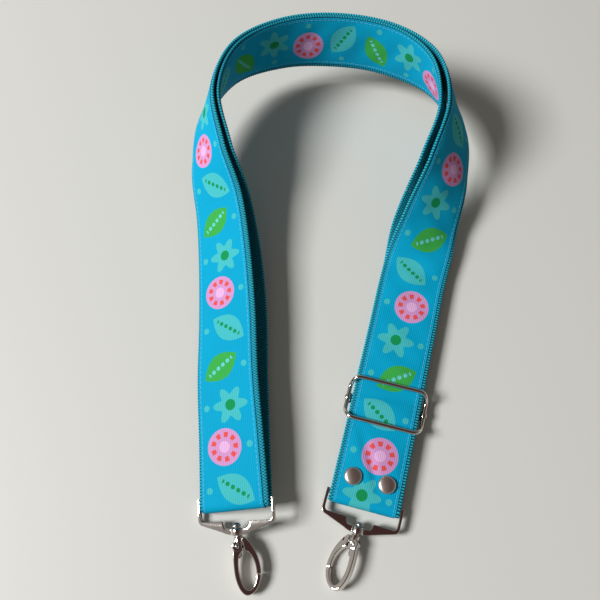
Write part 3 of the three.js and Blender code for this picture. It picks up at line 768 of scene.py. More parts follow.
# %% Both rivets in their places
leg_axes = Matrix((right_side, right_away, right_out)).transposed().to_4x4()
rivets = []
for name, sign in (("outer", -1), ("inner", 1)):
    spot = on_leg(rivet_up, 0, right_out)[0] + right_side * sign * rivet_across
    place = Matrix.Translation(spot) @ leg_axes
    for part, kind in ((cap, "cap"), (post, "post")):
        rivets.append((put(twin(part, f"{name}_rivet_{kind}"), place), f"rivet_{kind}_{name}"))
bpy.data.objects.remove(cap)
bpy.data.objects.remove(post)
print("rivet pieces:", [piece.name for piece, _ in rivets])

# %% [markdown]
# ## Slide adjuster
# The frame is one round wire bent to a rounded rectangle: its long rails cross over the strap and
# its short sides dip down at the edges. A plane with bevelled corners gives the line, its points
# are lifted by how far they are along the corner, and a curve bevel gives the wire its thickness.

# %% Wire frame of the adjuster
slider_place = Matrix.Translation(on_leg(slider_distance, 0, right_out)[0]) @ leg_axes
slider_wide, slider_gap, slider_corner = 44.8 * mm, 24.2 * mm, 5.5 * mm
rail_height, side_height = 3.7 * mm, -1.9 * mm
slider_wire_radius, slider_eye_radius = 1.25 * mm, 1.35 * mm
clear_selection()
bpy.ops.mesh.primitive_plane_add(size=1)
bpy.context.active_object.scale = (slider_wide, slider_gap, 1)
slider_frame = begin("adjuster_frame")
bpy.ops.mesh.select_all(action="SELECT")
bpy.ops.mesh.bevel(offset=slider_corner, segments=10, affect="VERTICES")
bpy.ops.mesh.select_all(action="SELECT")
bpy.ops.mesh.delete(type="ONLY_FACE")
close(slider_frame)
for point in slider_frame.data.vertices:
    climb = ease(abs(point.co.y), slider_gap / 2 - slider_corner, slider_gap / 2)
    point.co.z = side_height + (rail_height - side_height) * climb
pick(slider_frame)
bpy.ops.object.convert(target="CURVE")
slider_frame.data.bevel_depth = slider_wire_radius
slider_frame.data.bevel_resolution = 5
bpy.ops.object.convert(target="MESH")
slider_frame = bpy.context.active_object
soften(put(slider_frame, slider_place), 60)
print("adjuster frame faces:", len(slider_frame.data.polygons))

# %% Loose centre bar with its two eyes
clear_selection()
bpy.ops.mesh.primitive_cube_add(size=1, location=(0, 0, -3.9 * mm))
bar_size = (slider_wide - 1.4 * mm, 2 * slider_bar_half, slider_bar_thickness)
bpy.context.active_object.scale = bar_size
strip = begin("adjuster_bar")
bpy.ops.mesh.select_all(action="SELECT")
bpy.ops.mesh.bevel(offset=0.3 * mm, segments=3, affect="EDGES")
close(strip)
eyes = []
for sign in (-1, 1):
    clear_selection()
    bpy.ops.mesh.primitive_cylinder_add(
        vertices=32,
        radius=slider_eye_radius,
        depth=2.4 * mm,
        end_fill_type="NOTHING",
        rotation=(math.pi / 2, 0, 0),
        location=(sign * slider_wide / 2, 0, side_height),
    )
    eye = close(begin("adjuster_eye"))
    modify(eye, "SOLIDIFY", thickness=0.5 * mm, offset=1)
    eyes.append(modify(eye, "BEVEL", width=0.2 * mm, segments=2))
slider_bar = soften(put(fuse("adjuster_bar", strip, *eyes), slider_place), 40)
print("adjuster bar faces:", len(slider_bar.data.polygons))

# %% [markdown]
# ## Clasp frames
# Each clasp frame is a die casting: a thin U round the fold, two flat shoulders that slope to the
# middle, a notch between them and a barrel that the swivel post turns in. Half of it is laid out as
# a band between its inner and outer outline, extruded edge by edge, then mirrored and thickened.

# %% Joint frames of both clasps
joint_in_barrel = 2.4 * mm


def clasp_places(side):
    """Places of a clasp frame and of its hook, from the joints of the model."""
    swing, swivel = joints[f"{side}_clasp_swing"], joints[f"{side}_hook_swivel"]
    turn = joints[f"{side}_gate_turn"]
    bar, across = Vector(swing["pos_m"]), Vector(swing["axis"])
    top, down = Vector(swivel["pos_m"]), Vector(swivel["axis"])
    away = (top - down * joint_in_barrel - bar).normalized()
    face = across.cross(away)
    hook_face = Vector(turn["axis"])
    hook_side = down.cross(hook_face)
    clasp_axes = Matrix((across, away, face)).transposed().to_4x4()
    hook_axes = Matrix((hook_side, down, hook_face)).transposed().to_4x4()
    return Matrix.Translation(bar) @ clasp_axes, Matrix.Translation(top) @ hook_axes


places = {side: clasp_places(side) for side in ("left", "right")}
print("left clasp bar in mm:", [round(x / mm, 1) for x in places["left"][0].translation])


# %% A flat band between two outlines
def band(name, pairs):
    """Grows a flat band pair by pair with extrusions."""
    spots = [(Vector((*a, 0)) * mm, Vector((*b, 0)) * mm) for a, b in pairs]
    clear_selection()
    bpy.ops.mesh.primitive_plane_add(size=1)
    piece = begin(name)
    mesh = bmesh.from_edit_mesh(piece.data)
    mesh.faces.ensure_lookup_table()
    first = (spots[0][0], spots[0][1], spots[1][1], spots[1][0])
    for vertex, corner in zip(mesh.faces[0].verts, first):
        vertex.co = corner
    bmesh.update_edit_mesh(piece.data)
    for (a, b), (c, d) in zip(spots[1:], spots[2:]):
        choose(piece, lambda co: (co - a).length < tiny or (co - b).length < tiny)
        bpy.ops.mesh.extrude_region_move(TRANSFORM_OT_translate={"value": c - a})
        moved = b + c - a
        push(piece, lambda co: (co - moved).length < tiny, d - moved)
    bpy.ops.mesh.select_all(action="SELECT")
    bpy.ops.mesh.normals_make_consistent(inside=False)
    close(piece)
    return piece


def thicken(piece, thickness, rounding, segments):
    modify(piece, "SOLIDIFY", thickness=thickness, offset=0)
    return modify(piece, "BEVEL", width=rounding, segments=segments, limit_method="ANGLE")


# %% Half of the frame, mirrored
clasp_pairs = [
    ((20.4, -1.7), (22, -1.7)),
    ((20.4, 7.4), (22, 8.3)),
    ((20.3, 8.9), (21.9, 9.9)),
    ((19.9, 9.8), (21.4, 11.2)),
    ((19, 10.4), (20.2, 12.2)),
    ((8.3, 10.4), (8.8, 15.9)),
    ((7.5, 10.7), (7.7, 16.3)),
    ((7.1, 12.4), (6.6, 16.8)),
    ((6.3, 14.1), (5.2, 17.2)),
    ((3, 14.3), (3, 17.6)),
    ((0, 14.3), (0, 17.6)),
]
clasp = band("clasp_plate", clasp_pairs)
modify(clasp, "MIRROR", use_clip=True, merge_threshold=tiny)
thicken(clasp, 3 * mm, 0.45 * mm, 3)
print("clasp plate faces:", len(clasp.data.polygons))

# %% Barrel for the post, and the bar in the fold
barrel = turned(
    "clasp_barrel",
    in_mm(
        [
            (2.1, 14.7),
            (2.1, 14.1),
            (3, 14),
            (3.55, 14.4),
            (3.7, 15),
            (3.7, 17.1),
            (3.5, 17.6),
            (3, 17.8),
            (2.1, 17.8),
            (2.1, 17.2),
        ]
    ),
)
put(barrel, Matrix.Rotation(-math.pi / 2, 4, "X"))
bar = turned("clasp_bar", in_mm([(1.2, -21.6), (1.5, -21.2), (1.5, 21.2), (1.2, 21.6)]), 24)
put(bar, Matrix.Rotation(math.pi / 2, 4, "Y"))
clasp = soften(fuse("clasp", clasp, barrel, bar), 35)
print("clasp faces:", len(clasp.data.polygons))

# %% [markdown]
# ## Swivel posts
# The post is a headed pin: its polished round head sits in the notch, its shank goes through the
# barrel into the hook's neck. It turns with the hook.

# %% Post with a round head
head_post = turned(
    "post",
    in_mm(
        [
            (0.7, -7.15),
            (1.5, -6.9),
            (2.15, -6.4),
            (2.5, -5.7),
            (2.5, -5.2),
            (2.2, -4.75),
            (1.5, -4.7),
            (1.5, 1.3),
        ]
    ),
)
put(head_post, Matrix.Rotation(-math.pi / 2, 4, "X"))
print("post faces:", len(head_post.data.polygons))

# %% [markdown]
# ## Hooks
# The hook is cast in one piece, like a drop: a round neck spreads into a broad head, which tapers
# into the wire round a tall oval eye and ends in a nose that meets the gate. Hook and gate are two
# parts of the same band between an outer and an inner oval, and both ovals bulge to the gate's
# side. A tube along a curve would keep one width, so the band is grown pair by pair, thickened and
# rounded. A voxel remesh melts band, head, neck and the small tab beside the gate into one smooth
# casting, and the slot for the gate is cut afterwards, to keep its edges sharp.

# %% The two ovals of the eye, in mm
eye_wide, eye_long, eye_middle = 4.6, 10, 17.68
wire_wide, belly = 2.6, 1.9
drop_length = 30.4
nose_angle = 253
pivot = (-1.44 * mm, 4.8 * mm)
shoulder_turns = [0, 10, 20, 32, 45, 60, 75, 90]
shoulder_x = [0, 2.7, 3.8, 4.8, 5.7, 6.5, 7, 7.2]
shoulder_y = [0.3, 0.9, 2.6, 4.9, 7.6, 10.8, 14.2, 17.68]


def bellied(across, down):
    """The drop bulges to its gate side, so its plain side hangs almost straight."""
    share_down = min(max(down / drop_length, 0), 1)
    return across + belly * math.sqrt(math.sin(math.pi * share_down)), down


def inner_oval(angle):
    turn = math.radians(angle)
    return bellied(-eye_wide * math.sin(turn), eye_middle - eye_long * math.cos(turn))


def outer_oval(angle):
    """Outer line of the drop; the angle counts from the neck over the plain side."""
    turn = math.radians(angle)
    if math.cos(turn) < 0:
        wide, long = eye_wide + wire_wide, eye_long + wire_wide
        return bellied(-wide * math.sin(turn), eye_middle - long * math.cos(turn))
    up_side = min(angle, 360 - angle)
    across = float(np.interp(up_side, shoulder_turns, shoulder_x))
    down = float(np.interp(up_side, shoulder_turns, shoulder_y))
    return bellied(-across if angle < 180 else across, down)


# %% Growing the wire, melting parts and adding round blanks
def eye_band(name, start, stop, thickness):
    turns = share(start, stop, round((stop - start) / 6))
    piece = band(name, [(inner_oval(turn), outer_oval(turn)) for turn in turns])
    return thicken(piece, thickness, 1.28 * mm, 5)


def melt(piece, voxel, passes):
    modify(piece, "REMESH", mode="VOXEL", voxel_size=voxel)
    return modify(piece, "SMOOTH", factor=0.5, iterations=passes)


def disc(name, radius, depth, place):
    clear_selection()
    bpy.ops.mesh.primitive_cylinder_add(vertices=48, radius=radius, depth=depth, location=place)
    return close(begin(name))


print("eye in mm:", 2 * eye_wide, "x", 2 * eye_long, "and wire", wire_wide)

# %% Neck, head and wire melted into one casting
wire = eye_band("hook_wire", 0, nose_angle - 0.5, 4.6 * mm)
neck = turned(
    "hook_neck", in_mm([(2.2, 0), (2.6, 0.35), (2.6, 1.1), (2.75, 2.4), (2.6, 4.4), (2, 5.5)])
)
put(neck, Matrix.Rotation(-math.pi / 2, 4, "X"))
head = disc("hook_head", 2.75 * mm, 4.9 * mm, (*pivot, 0))
modify(head, "BEVEL", width=0.6 * mm, segments=3, limit_method="ANGLE")
clear_selection()
bpy.ops.mesh.primitive_cube_add(size=1, location=(-1.7 * mm, 8.8 * mm, 0))
bpy.context.active_object.scale = (2.4 * mm, 4.8 * mm, 3 * mm)
hook = fuse("hook", wire, neck, head, close(begin("hook_tab")))
melt(hook, 0.2 * mm, 7)
print("hook faces:", len(hook.data.polygons))


# %% Cutting with a box
def cut_box(piece, low, high):
    """Takes the block between two corners, in mm, out of the piece."""
    clear_selection()
    low, high = Vector(low) * mm, Vector(high) * mm
    bpy.ops.mesh.primitive_cube_add(size=1, location=(low + high) / 2)
    bpy.context.active_object.scale = high - low
    block = close(begin("cutting_block"))
    modify(piece, "BOOLEAN", operation="DIFFERENCE", object=block, solver="EXACT")
    bpy.data.objects.remove(block)
    return piece


gate_slot = ((-3.7, 2.6, -1.2), (9, 8.5, 1.2))
cut_box(hook, *gate_slot)
soften(hook, 40)
print("hook faces after the slot:", len(hook.data.polygons))

# %% [markdown]
# ## Gates
# The gate closes the hook's open side: it carries the drop's outline on from the nose to the neck,
# broad at the top, with a thin plate that reaches between the head's cheeks to the pin. Room for
# the head and the neck is cut out of it, so that it can turn, and a small square slot is sunk into
# its top end. One drill then opens the pin's hole in gate and hook alike.

# %% Gate bar, plate and slot
gate_bar = eye_band("gate_bar", nose_angle + 0.7, 355, 4.5 * mm)
for name, radius, place, turn in (
    ("head_room", 3.1 * mm, (*pivot, 0), 0),
    ("neck_room", 2.95 * mm, (0, -1 * mm, 0), math.pi / 2),
):
    room_cut = disc(name, radius, 8 * mm, (0, 0, 0))
    put(room_cut, Matrix.Translation(place) @ Matrix.Rotation(turn, 4, "X"))
    modify(gate_bar, "BOOLEAN", operation="DIFFERENCE", object=room_cut, solver="EXACT")
    bpy.data.objects.remove(room_cut)
plate = disc("gate_plate", 2.1 * mm, 1.4 * mm, (*pivot, 0))
pick(plate)
bpy.ops.object.mode_set(mode="EDIT")
choose(plate, lambda co, normal: normal.x > 0.8, "FACE")
bpy.ops.mesh.extrude_region_move(TRANSFORM_OT_translate={"value": (2.6 * mm, 1.2 * mm, 0)})
close(plate)
gate = fuse("gate", gate_bar, plate)
melt(gate, 0.17 * mm, 3)
square_slot = ((3.7, 3.4, 1.3), (5.3, 5.2, 4))
cut_box(gate, *square_slot)
drill = disc("pin_drill", 1.05 * mm, 9 * mm, (*pivot, 0))
modify(gate, "BOOLEAN", operation="DIFFERENCE", object=drill, solver="EXACT")
modify(hook, "BOOLEAN", operation="DIFFERENCE", object=drill, solver="EXACT")
bpy.data.objects.remove(drill)
soften(gate, 40)
print("gate faces:", len(gate.data.polygons))

# %% Gate pin with rounded ends
pin = turned(
    "gate_pin",
    in_mm([(0.5, -2.65), (0.75, -2.55), (0.8, -2.4), (0.8, 2.4), (0.75, 2.55), (0.5, 2.65)]),
    24,
)
put(pin, Matrix.Translation((*pivot, 0)))
print("pin faces:", len(pin.data.polygons))

# %% Both clasps in their places
clasp_pieces = {}
for side, (clasp_place, hook_place) in places.items():
    clasp_pieces[side] = {
        "frame": put(twin(clasp, f"{side}_frame"), clasp_place),
        "post": put(twin(head_post, f"{side}_post"), hook_place),
        "hook": put(twin(hook, f"{side}_hook_casting"), hook_place),
        "gate": put(twin(gate, f"{side}_gate_lever"), hook_place),
        "pin": put(twin(pin, f"{side}_pin"), hook_place),
    }
for pattern in (clasp, head_post, hook, gate, pin):
    bpy.data.objects.remove(pattern)
for name, piece in clasp_pieces["right"].items():
    print(name, "faces:", len(piece.data.polygons))

# %% [markdown]
# ## Building materials from nodes
# Each finish is a small network of nodes. A few helpers keep them readable: one makes a material
# with its shader, one adds a calculation and returns its result, one lays a colour over another
# where a mask is 1, and one turns a height into relief.

# %% A material, a calculation and one colour over another
def finish(name, colour, roughness, metallic=0.0):
    """A new material with its node tree and its shader."""
    material = bpy.data.materials.new(name)
    material.use_nodes = True
    shader = material.node_tree.nodes["Principled BSDF"]
    shader.inputs["Base Color"].default_value = (*colour, 1)
    shader.inputs["Roughness"].default_value = roughness
    shader.inputs["Metallic"].default_value = metallic
    return material, material.node_tree, shader


def calc(tree, operation, *values):
    """One calculation; each value is a number or another node's result."""
    node = tree.nodes.new("ShaderNodeMath")
    node.operation = operation
    for socket, value in zip(node.inputs, values):
        if isinstance(value, bpy.types.NodeSocket):
            tree.links.new(value, socket)
        else:
            socket.default_value = value
    return node.outputs[0]


def paint(tree, mask, below, above):
    """Lays one colour over another where the mask is 1."""
    node = tree.nodes.new("ShaderNodeMix")
    node.data_type = "RGBA"
    tree.links.new(mask, node.inputs["Factor"])
    sockets = [socket for socket in node.inputs if socket.type == "RGBA"]
    for socket, value in zip(sockets, (below, above)):
        if isinstance(value, bpy.types.NodeSocket):
            tree.links.new(value, socket)
        else:
            socket.default_value = (*value, 1)
    return [socket for socket in node.outputs if socket.type == "RGBA"][0]


# %% Clouds, ranges, relief and the flat place
def noise(tree, scale, detail=2.0, vector=None):
    node = tree.nodes.new("ShaderNodeTexNoise")
    node.inputs["Scale"].default_value = scale
    node.inputs["Detail"].default_value = detail
    if vector is None:
        vector = tree.nodes.new("ShaderNodeTexCoord").outputs["Object"]
    tree.links.new(vector, node.inputs["Vector"])
    return node.outputs["Fac"]


def scaled(tree, value, low, high):
    """Spreads a 0 to 1 value over another range."""
    node = tree.nodes.new("ShaderNodeMapRange")
    tree.links.new(value, node.inputs["Value"])
    node.inputs["To Min"].default_value = low
    node.inputs["To Max"].default_value = high
    return node.outputs[0]


def relief(tree, shader, height, distance, strength=1.0):
    node = tree.nodes.new("ShaderNodeBump")
    node.inputs["Distance"].default_value = distance
    node.inputs["Strength"].default_value = strength
    tree.links.new(height, node.inputs["Height"])
    tree.links.new(node.outputs["Normal"], shader.inputs["Normal"])


def flat_place(tree):
    """Place on the flat strap, across and along, in mm."""
    source = tree.nodes.new("ShaderNodeUVMap")
    source.uv_map = "flat"
    split = tree.nodes.new("ShaderNodeSeparateXYZ")
    tree.links.new(source.outputs["UV"], split.inputs["Vector"])
    return [calc(tree, "MULTIPLY", split.outputs[axis], 1000) for axis in ("X", "Y")]


# %% Screen colours, and dressing a piece
def shade(red, green, blue):
    """A screen colour, 0 to 255, as the linear colour that a shader wants."""
    return tuple(
        (c / 255 / 12.92) if c < 11 else ((c / 255 + 0.055) / 1.055) ** 2.4
        for c in (red, green, blue)
    )


def dress(material, *dressed):
    for piece in dressed:
        piece.data.materials.clear()
        piece.data.materials.append(material)
    print(material.name, "on", len(dressed), "pieces")


# %% [markdown]
# ## Webbing finish
# The webbing is dyed teal. Its floats catch the light while the hollows between them stay dark, so
# the colour follows the same beat as the modelled floats, and fine lines along each float show its
# filaments.

# %% Webbing material
def webbing_finish(step):
    """The rows of floats are 1.3 mm wide, counted from the valley 18.7 mm off the middle."""
    material, tree, shader = finish("webbing_teal", shade(0, 130, 150), 0.7)
    across, along = flat_place(tree)
    far = calc(tree, "ABSOLUTE", across)
    row = calc(tree, "DIVIDE", calc(tree, "SUBTRACT", far, 18.7), 1.3)
    row = calc(tree, "MINIMUM", row, 0.5)
    turn = calc(tree, "MULTIPLY", row, math.pi)
    ribbed = calc(tree, "LESS_THAN", across, 0.0)
    checked = calc(tree, "MULTIPLY", calc(tree, "SINE", turn), calc(tree, "SUBTRACT", 1.0, ribbed))
    beat = calc(tree, "SINE", calc(tree, "MULTIPLY", along, 2 * math.pi / step))
    swell = calc(tree, "MULTIPLY", beat, calc(tree, "ADD", checked, ribbed))
    valley = calc(tree, "MULTIPLY", calc(tree, "ABSOLUTE", calc(tree, "COSINE", turn)), 0.4)
    height = calc(tree, "SUBTRACT", swell, valley)
    level = scaled(tree, calc(tree, "MULTIPLY", calc(tree, "ADD", height, 1), 0.5), 0, 1)
    # Painted highlight on the floats and painted shade in the hollows between them, in the beat of
    # the weave.
    colour = paint(tree, level, shade(0, 52, 84), shade(44, 186, 204))
    patch = scaled(tree, noise(tree, 60), 0, 0.2)
    colour = paint(tree, patch, colour, shade(0, 104, 128))
    tree.links.new(colour, shader.inputs["Base Color"])
    filament = calc(tree, "SINE", calc(tree, "MULTIPLY", across, 2 * math.pi / 0.22))
    fine = calc(tree, "ADD", level, calc(tree, "MULTIPLY", filament, 0.18))
    relief(tree, shader, fine, 0.2 * mm, 0.6)
    shader.inputs["Specular IOR Level"].default_value = 0.12
    return material


dress(webbing_finish(weave_step / mm), webbing_long, webbing_loop)

# %% [markdown]
# ## Ribbon finish and its print
# The ribbon is finely ribbed. Its print is a design of our own: leaves, daisies and dotted discs in
# two staggered lines, in green, pale aqua and pink on blue. Each motif is a small formula on the
# flat place, so it needs no picture.

# %% Shapes of the print
motif_step = 23.0


def inside(tree, value):
    return calc(tree, "LESS_THAN", value, 0.0)


def both(tree, *masks):
    result = masks[0]
    for mask in masks[1:]:
        result = calc(tree, "MULTIPLY", result, mask)
    return result


def from_centre(tree, x, y):
    return calc(
        tree, "SQRT", calc(tree, "ADD", calc(tree, "POWER", x, 2), calc(tree, "POWER", y, 2))
    )


def dots_along(tree, x, y, pitch, radius, reach):
    """A line of round dots on the motif's axis."""
    local = calc(tree, "SUBTRACT", calc(tree, "FLOORED_MODULO", y, pitch), pitch / 2)
    close_by = inside(tree, calc(tree, "SUBTRACT", from_centre(tree, x, local), radius))
    return both(tree, close_by, calc(tree, "LESS_THAN", calc(tree, "ABSOLUTE", y), reach))


def leaf(tree, x, y):
    """A pointed oval along Y."""
    taper = calc(tree, "SUBTRACT", 1.0, calc(tree, "POWER", calc(tree, "DIVIDE", y, 12.6), 2))
    side = calc(tree, "MULTIPLY", taper, 7.6)
    return inside(tree, calc(tree, "SUBTRACT", calc(tree, "ABSOLUTE", x), side))


def daisy(tree, radius, angle):
    """A disc whose rim swells into six petals."""
    petal = calc(tree, "MULTIPLY", calc(tree, "COSINE", calc(tree, "MULTIPLY", angle, 6)), 2.3)
    return inside(tree, calc(tree, "SUBTRACT", calc(tree, "SUBTRACT", radius, petal), 8.6))


# %% Where each motif sits
def motif_place(tree, across, along):
    """The motif's kind, the side of the middle that it is on, and the place from its centre."""
    number = calc(tree, "FLOOR", calc(tree, "DIVIDE", along, motif_step))
    kind = calc(tree, "FLOORED_MODULO", number, 4)
    parity = calc(tree, "FLOORED_MODULO", number, 2)
    swing = calc(tree, "SUBTRACT", calc(tree, "MULTIPLY", parity, 2), 1)
    middle = calc(tree, "MULTIPLY", calc(tree, "ADD", number, 0.5), motif_step)
    y = calc(tree, "SUBTRACT", along, middle)
    x = calc(tree, "SUBTRACT", across, calc(tree, "MULTIPLY", swing, 2.6))
    return kind, swing, x, y


# %% The motifs, each a mask and its colour
def motif_layers(tree, across, along):
    kind, swing, x, y = motif_place(tree, across, along)
    lean = calc(tree, "MULTIPLY", swing, 0.55)
    long_way = calc(tree, "ADD", calc(tree, "MULTIPLY", x, 0.84), calc(tree, "MULTIPLY", y, lean))
    short_way = calc(
        tree, "SUBTRACT", calc(tree, "MULTIPLY", y, 0.84), calc(tree, "MULTIPLY", x, lean)
    )
    radius, angle = from_centre(tree, x, y), calc(tree, "ARCTAN2", y, x)
    is_kind = [calc(tree, "COMPARE", kind, float(k), 0.5) for k in range(4)]
    leaf_shape = leaf(tree, short_way, long_way)
    vein = dots_along(tree, short_way, long_way, 3.6, 1.25, 8.9)
    daisy_shape = daisy(tree, radius, angle)
    heart = inside(tree, calc(tree, "SUBTRACT", radius, 3.2))
    round_field = inside(tree, calc(tree, "SUBTRACT", radius, 10.3))
    from_ring = calc(tree, "ABSOLUTE", calc(tree, "SUBTRACT", radius, 6.8))
    ring = inside(tree, calc(tree, "SUBTRACT", from_ring, 1.4))
    ring_beads = calc(
        tree, "GREATER_THAN", calc(tree, "COSINE", calc(tree, "MULTIPLY", angle, 9)), -0.1
    )
    spare_x = calc(tree, "ADD", across, calc(tree, "MULTIPLY", swing, 12.6))
    spot = inside(tree, calc(tree, "SUBTRACT", from_centre(tree, spare_x, y), 1.8))
    green, aqua, pink = shade(56, 158, 58), shade(64, 174, 178), shade(196, 138, 186)
    dark_green, pale_aqua = shade(16, 134, 66), shade(96, 190, 190)
    return [
        (spot, aqua),
        (both(tree, leaf_shape, is_kind[0]), green),
        (both(tree, vein, is_kind[0]), pale_aqua),
        (both(tree, daisy_shape, is_kind[1]), aqua),
        (both(tree, heart, is_kind[1]), dark_green),
        (both(tree, round_field, is_kind[2]), pink),
        (both(tree, ring, ring_beads, is_kind[2]), shade(214, 74, 62)),
        (both(tree, heart, is_kind[2]), shade(216, 166, 208)),
        (both(tree, leaf_shape, is_kind[3]), aqua),
        (both(tree, vein, is_kind[3]), dark_green),
    ]


# %% Ribbon material
def ribbon_finish():
    material, tree, shader = finish("printed_ribbon", shade(0, 140, 180), 0.75)
    across, along = flat_place(tree)
    tone = scaled(tree, noise(tree, 25), 0, 1)
    colour = paint(tree, tone, shade(0, 144, 182), shade(0, 157, 196))
    for mask, tint in motif_layers(tree, across, along):
        colour = paint(tree, mask, colour, tint)
    border = calc(tree, "GREATER_THAN", calc(tree, "ABSOLUTE", across), 16.9)
    colour = paint(tree, calc(tree, "MULTIPLY", border, 0.6), colour, shade(20, 156, 196))
    rib = calc(tree, "SINE", calc(tree, "MULTIPLY", across, 2 * math.pi / 1.15))
    yarn = calc(tree, "SINE", calc(tree, "MULTIPLY", along, 2 * math.pi / 0.75))
    # Painted shade in the grooves between the ribs.
    groove_shade = scaled(tree, calc(tree, "MULTIPLY", calc(tree, "SUBTRACT", 1.0, rib), 0.5), 0, 0.2)
    colour = paint(tree, groove_shade, colour, shade(0, 84, 120))
    tree.links.new(colour, shader.inputs["Base Color"])
    height = calc(tree, "ADD", rib, calc(tree, "MULTIPLY", yarn, 0.3))
    relief(tree, shader, height, 0.05 * mm, 0.6)
    shader.inputs["Specular IOR Level"].default_value = 0.08
    return material


dress(ribbon_finish(), ribbon_long, ribbon_loop)

# %% [markdown]
# ## Thread and metal finishes
# The thread is pale blue and slightly shiny. The hardware is nickel plated: nearly a mirror, with a
# faint cloudiness from polishing and handling. The rivets' domed caps are rubbed duller, because
# they stand proud of the cloth. Pins, posts and springs are plain steel.

# %% Thread, nickel and steel
def thread_finish():
    material, tree, shader = finish("pale_thread", shade(70, 178, 222), 0.55)
    _, along = flat_place(tree)
    ply = calc(tree, "SINE", calc(tree, "MULTIPLY", along, 2 * math.pi / 0.5))
    # Painted shade in the grooves of the thread's twist, along each stitch.
    colour = paint(tree, scaled(tree, ply, 0, 0.6), shade(70, 172, 204), shade(20, 124, 170))
    tree.links.new(colour, shader.inputs["Base Color"])
    relief(tree, shader, ply, 0.05 * mm, 0.6)
    return material


def metal_finish(name, colour, dull, low, high):
    material, tree, shader = finish(name, colour, low, 1)
    cloud = noise(tree, 220, 3)
    tree.links.new(scaled(tree, cloud, low, high), shader.inputs["Roughness"])
    tint = paint(tree, scaled(tree, noise(tree, 90), 0, 0.5), colour, dull)
    tree.links.new(tint, shader.inputs["Base Color"])
    relief(tree, shader, noise(tree, 900, 3), 0.02 * mm, 0.15)
    return material


thread_colour = thread_finish()
nickel = metal_finish("nickel_plate", (0.66, 0.62, 0.58), (0.54, 0.5, 0.46), 0.04, 0.09)
cap_nickel = metal_finish("worn_cap_nickel", (0.64, 0.56, 0.51), (0.54, 0.47, 0.43), 0.28, 0.38)
steel = metal_finish("plain_steel", (0.5, 0.49, 0.48), (0.4, 0.38, 0.36), 0.18, 0.34)
dress(thread_colour, stitch_raised, stitch_low, stitch_loop)
dress(nickel, slider_frame, slider_bar)
dress(cap_nickel, *(piece for piece, _ in rivets))
for group in clasp_pieces.values():
    dress(nickel, group["frame"], group["hook"], group["gate"])
    dress(steel, group["post"], group["pin"])
springs = [frame["nodes"][f"{side}_gate_spring"] for side in places]
dress(steel, *springs)

# %% [markdown]
# ## Riding on the model
# Each piece moves with the body of the model that it belongs to and stands for that body's plain
# solid. The sewn loop round the adjuster's bar is cloth between two bodies; here its pieces only
# have their places baked into their meshes.

# %% Bodies and stand-ins
def assign(piece, body, node):
    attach(piece, body)
    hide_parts(node)


assign(webbing_long, "strap", "webbing_long_run")
assign(ribbon_long, "strap", "ribbon_long_run")
assign(stitch_raised, "strap", "stitch_row_raised_edge")
assign(stitch_low, "strap", "stitch_row_low_edge")
for piece, node in rivets:
    assign(piece, "strap", node)
assign(slider_frame, "slider_frame_body", "slider_frame")
assign(slider_bar, "slider_bar_body", "slider_bar")
for side, group in clasp_pieces.items():
    assign(group["frame"], f"{side}_clasp", f"{side}_clasp_frame")
    assign(group["post"], f"{side}_hook_body", f"{side}_swivel_post")
    assign(group["hook"], f"{side}_hook_body", f"{side}_hook")
    assign(group["pin"], f"{side}_hook_body", f"{side}_gate_pin")
    assign(group["gate"], f"{side}_gate_body", f"{side}_gate")
print("riding pieces on clasps:", sum(len(group) for group in clasp_pieces.values()))

# %% The sewn loop between strap and bar
for piece, slot_name in (
    (webbing_loop, "webbing"),
    (ribbon_loop, "ribbon"),
    (stitch_loop, "thread"),
):
    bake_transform(piece)
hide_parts("webbing_bar_loop")
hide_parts("ribbon_bar_loop")

# %% Cloth pieces and their flat sizes
sheet_lengths = (long_length, loop_length, loop_ribbon_length)
print("sheets in mm:", [round(length / mm) for length in sheet_lengths])

# %% [markdown]
# ## Table and light
# The strap lies on a pale satin table by a window on the left. One large soft lamp stands for the
# window, so shadows fall to the right with wide soft edges.

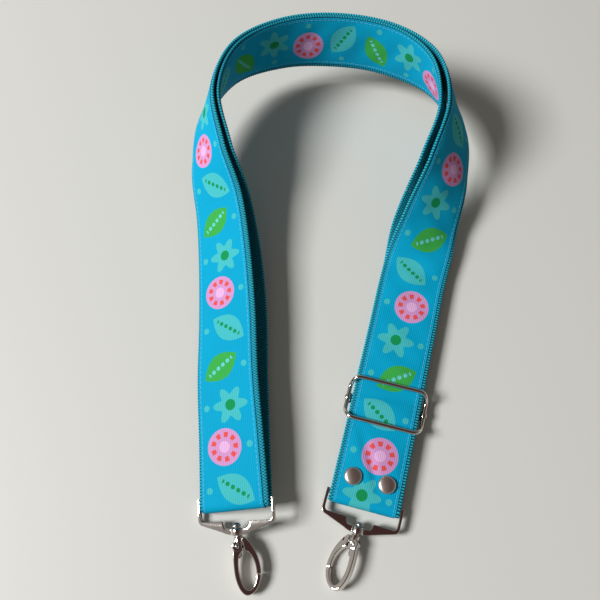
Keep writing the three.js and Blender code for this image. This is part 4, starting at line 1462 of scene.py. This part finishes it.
# %% Pale table
clear_selection()
bpy.ops.mesh.primitive_plane_add(size=6)
table = bpy.context.active_object
table.name = "table_top"
table_shade = shade(198, 197, 192)
table_finish, table_tree, table_shader = finish("table_paint", table_shade, 0.5)
# The table is a shade lighter or darker in broad patches.
broad_patches = noise(table_tree, 1.2, 3)
tone = paint(table_tree, broad_patches, shade(196, 195, 190), shade(202, 201, 196))
table_tree.links.new(tone, table_shader.inputs["Base Color"])
table_shader.inputs["Specular IOR Level"].default_value = 0.3
table.data.materials.append(table_finish)
print("table shade:", [round(value, 3) for value in table_shade])

# %% The window, as one soft lamp
bpy.ops.object.light_add(type="AREA", location=(-2.38, -0.3, 2.2))
window = bpy.context.active_object
window.name = "window"
window.data.size = 1.05
window.data.energy = 152
window.data.color = (0.99, 1, 1)
window.rotation_euler = (aim - window.location).to_track_quat("-Z", "Y").to_euler()
print("window lamp from the strap in m:", round((window.location - aim).length, 2))

# %% [markdown]
# ## The room in the metal
# Nickel shows whatever is round it, so the room is painted by direction: dark overhead, lighter
# near the table and lightest on the window's wall. Only rays that come off a glossy surface see
# that. The soft light on cloth and table comes from one plain dim colour.

# %% Room by direction
world = bpy.data.worlds.new("room")
bpy.context.scene.world = world
world.use_nodes = True
room = world.node_tree
sky = room.nodes["Background"]
toward = room.nodes.new("ShaderNodeTexCoord").outputs["Generated"]
split = room.nodes.new("ShaderNodeSeparateXYZ")
room.links.new(toward, split.inputs["Vector"])
ceiling = scaled(room, split.outputs["Z"], 0, 1)
ceiling.node.inputs["From Min"].default_value = 0.15
ceiling.node.inputs["From Max"].default_value = 0.95
window_wall = scaled(room, calc(room, "MULTIPLY", split.outputs["X"], -1), 0, 1)
window_wall.node.inputs["From Min"].default_value = 0.2
window_wall.node.inputs["From Max"].default_value = 0.75
seen_in_metal = paint(room, ceiling, (0.3, 0.28, 0.26), (0.07, 0.035, 0.032))
seen_in_metal = paint(room, window_wall, seen_in_metal, (0.5, 0.49, 0.47))
glossy = room.nodes.new("ShaderNodeLightPath").outputs["Is Glossy Ray"]
room_colour = paint(room, glossy, (0.165, 0.156, 0.142), seen_in_metal)
room.links.new(room_colour, sky.inputs["Color"])
print("nodes in the room:", len(room.nodes))
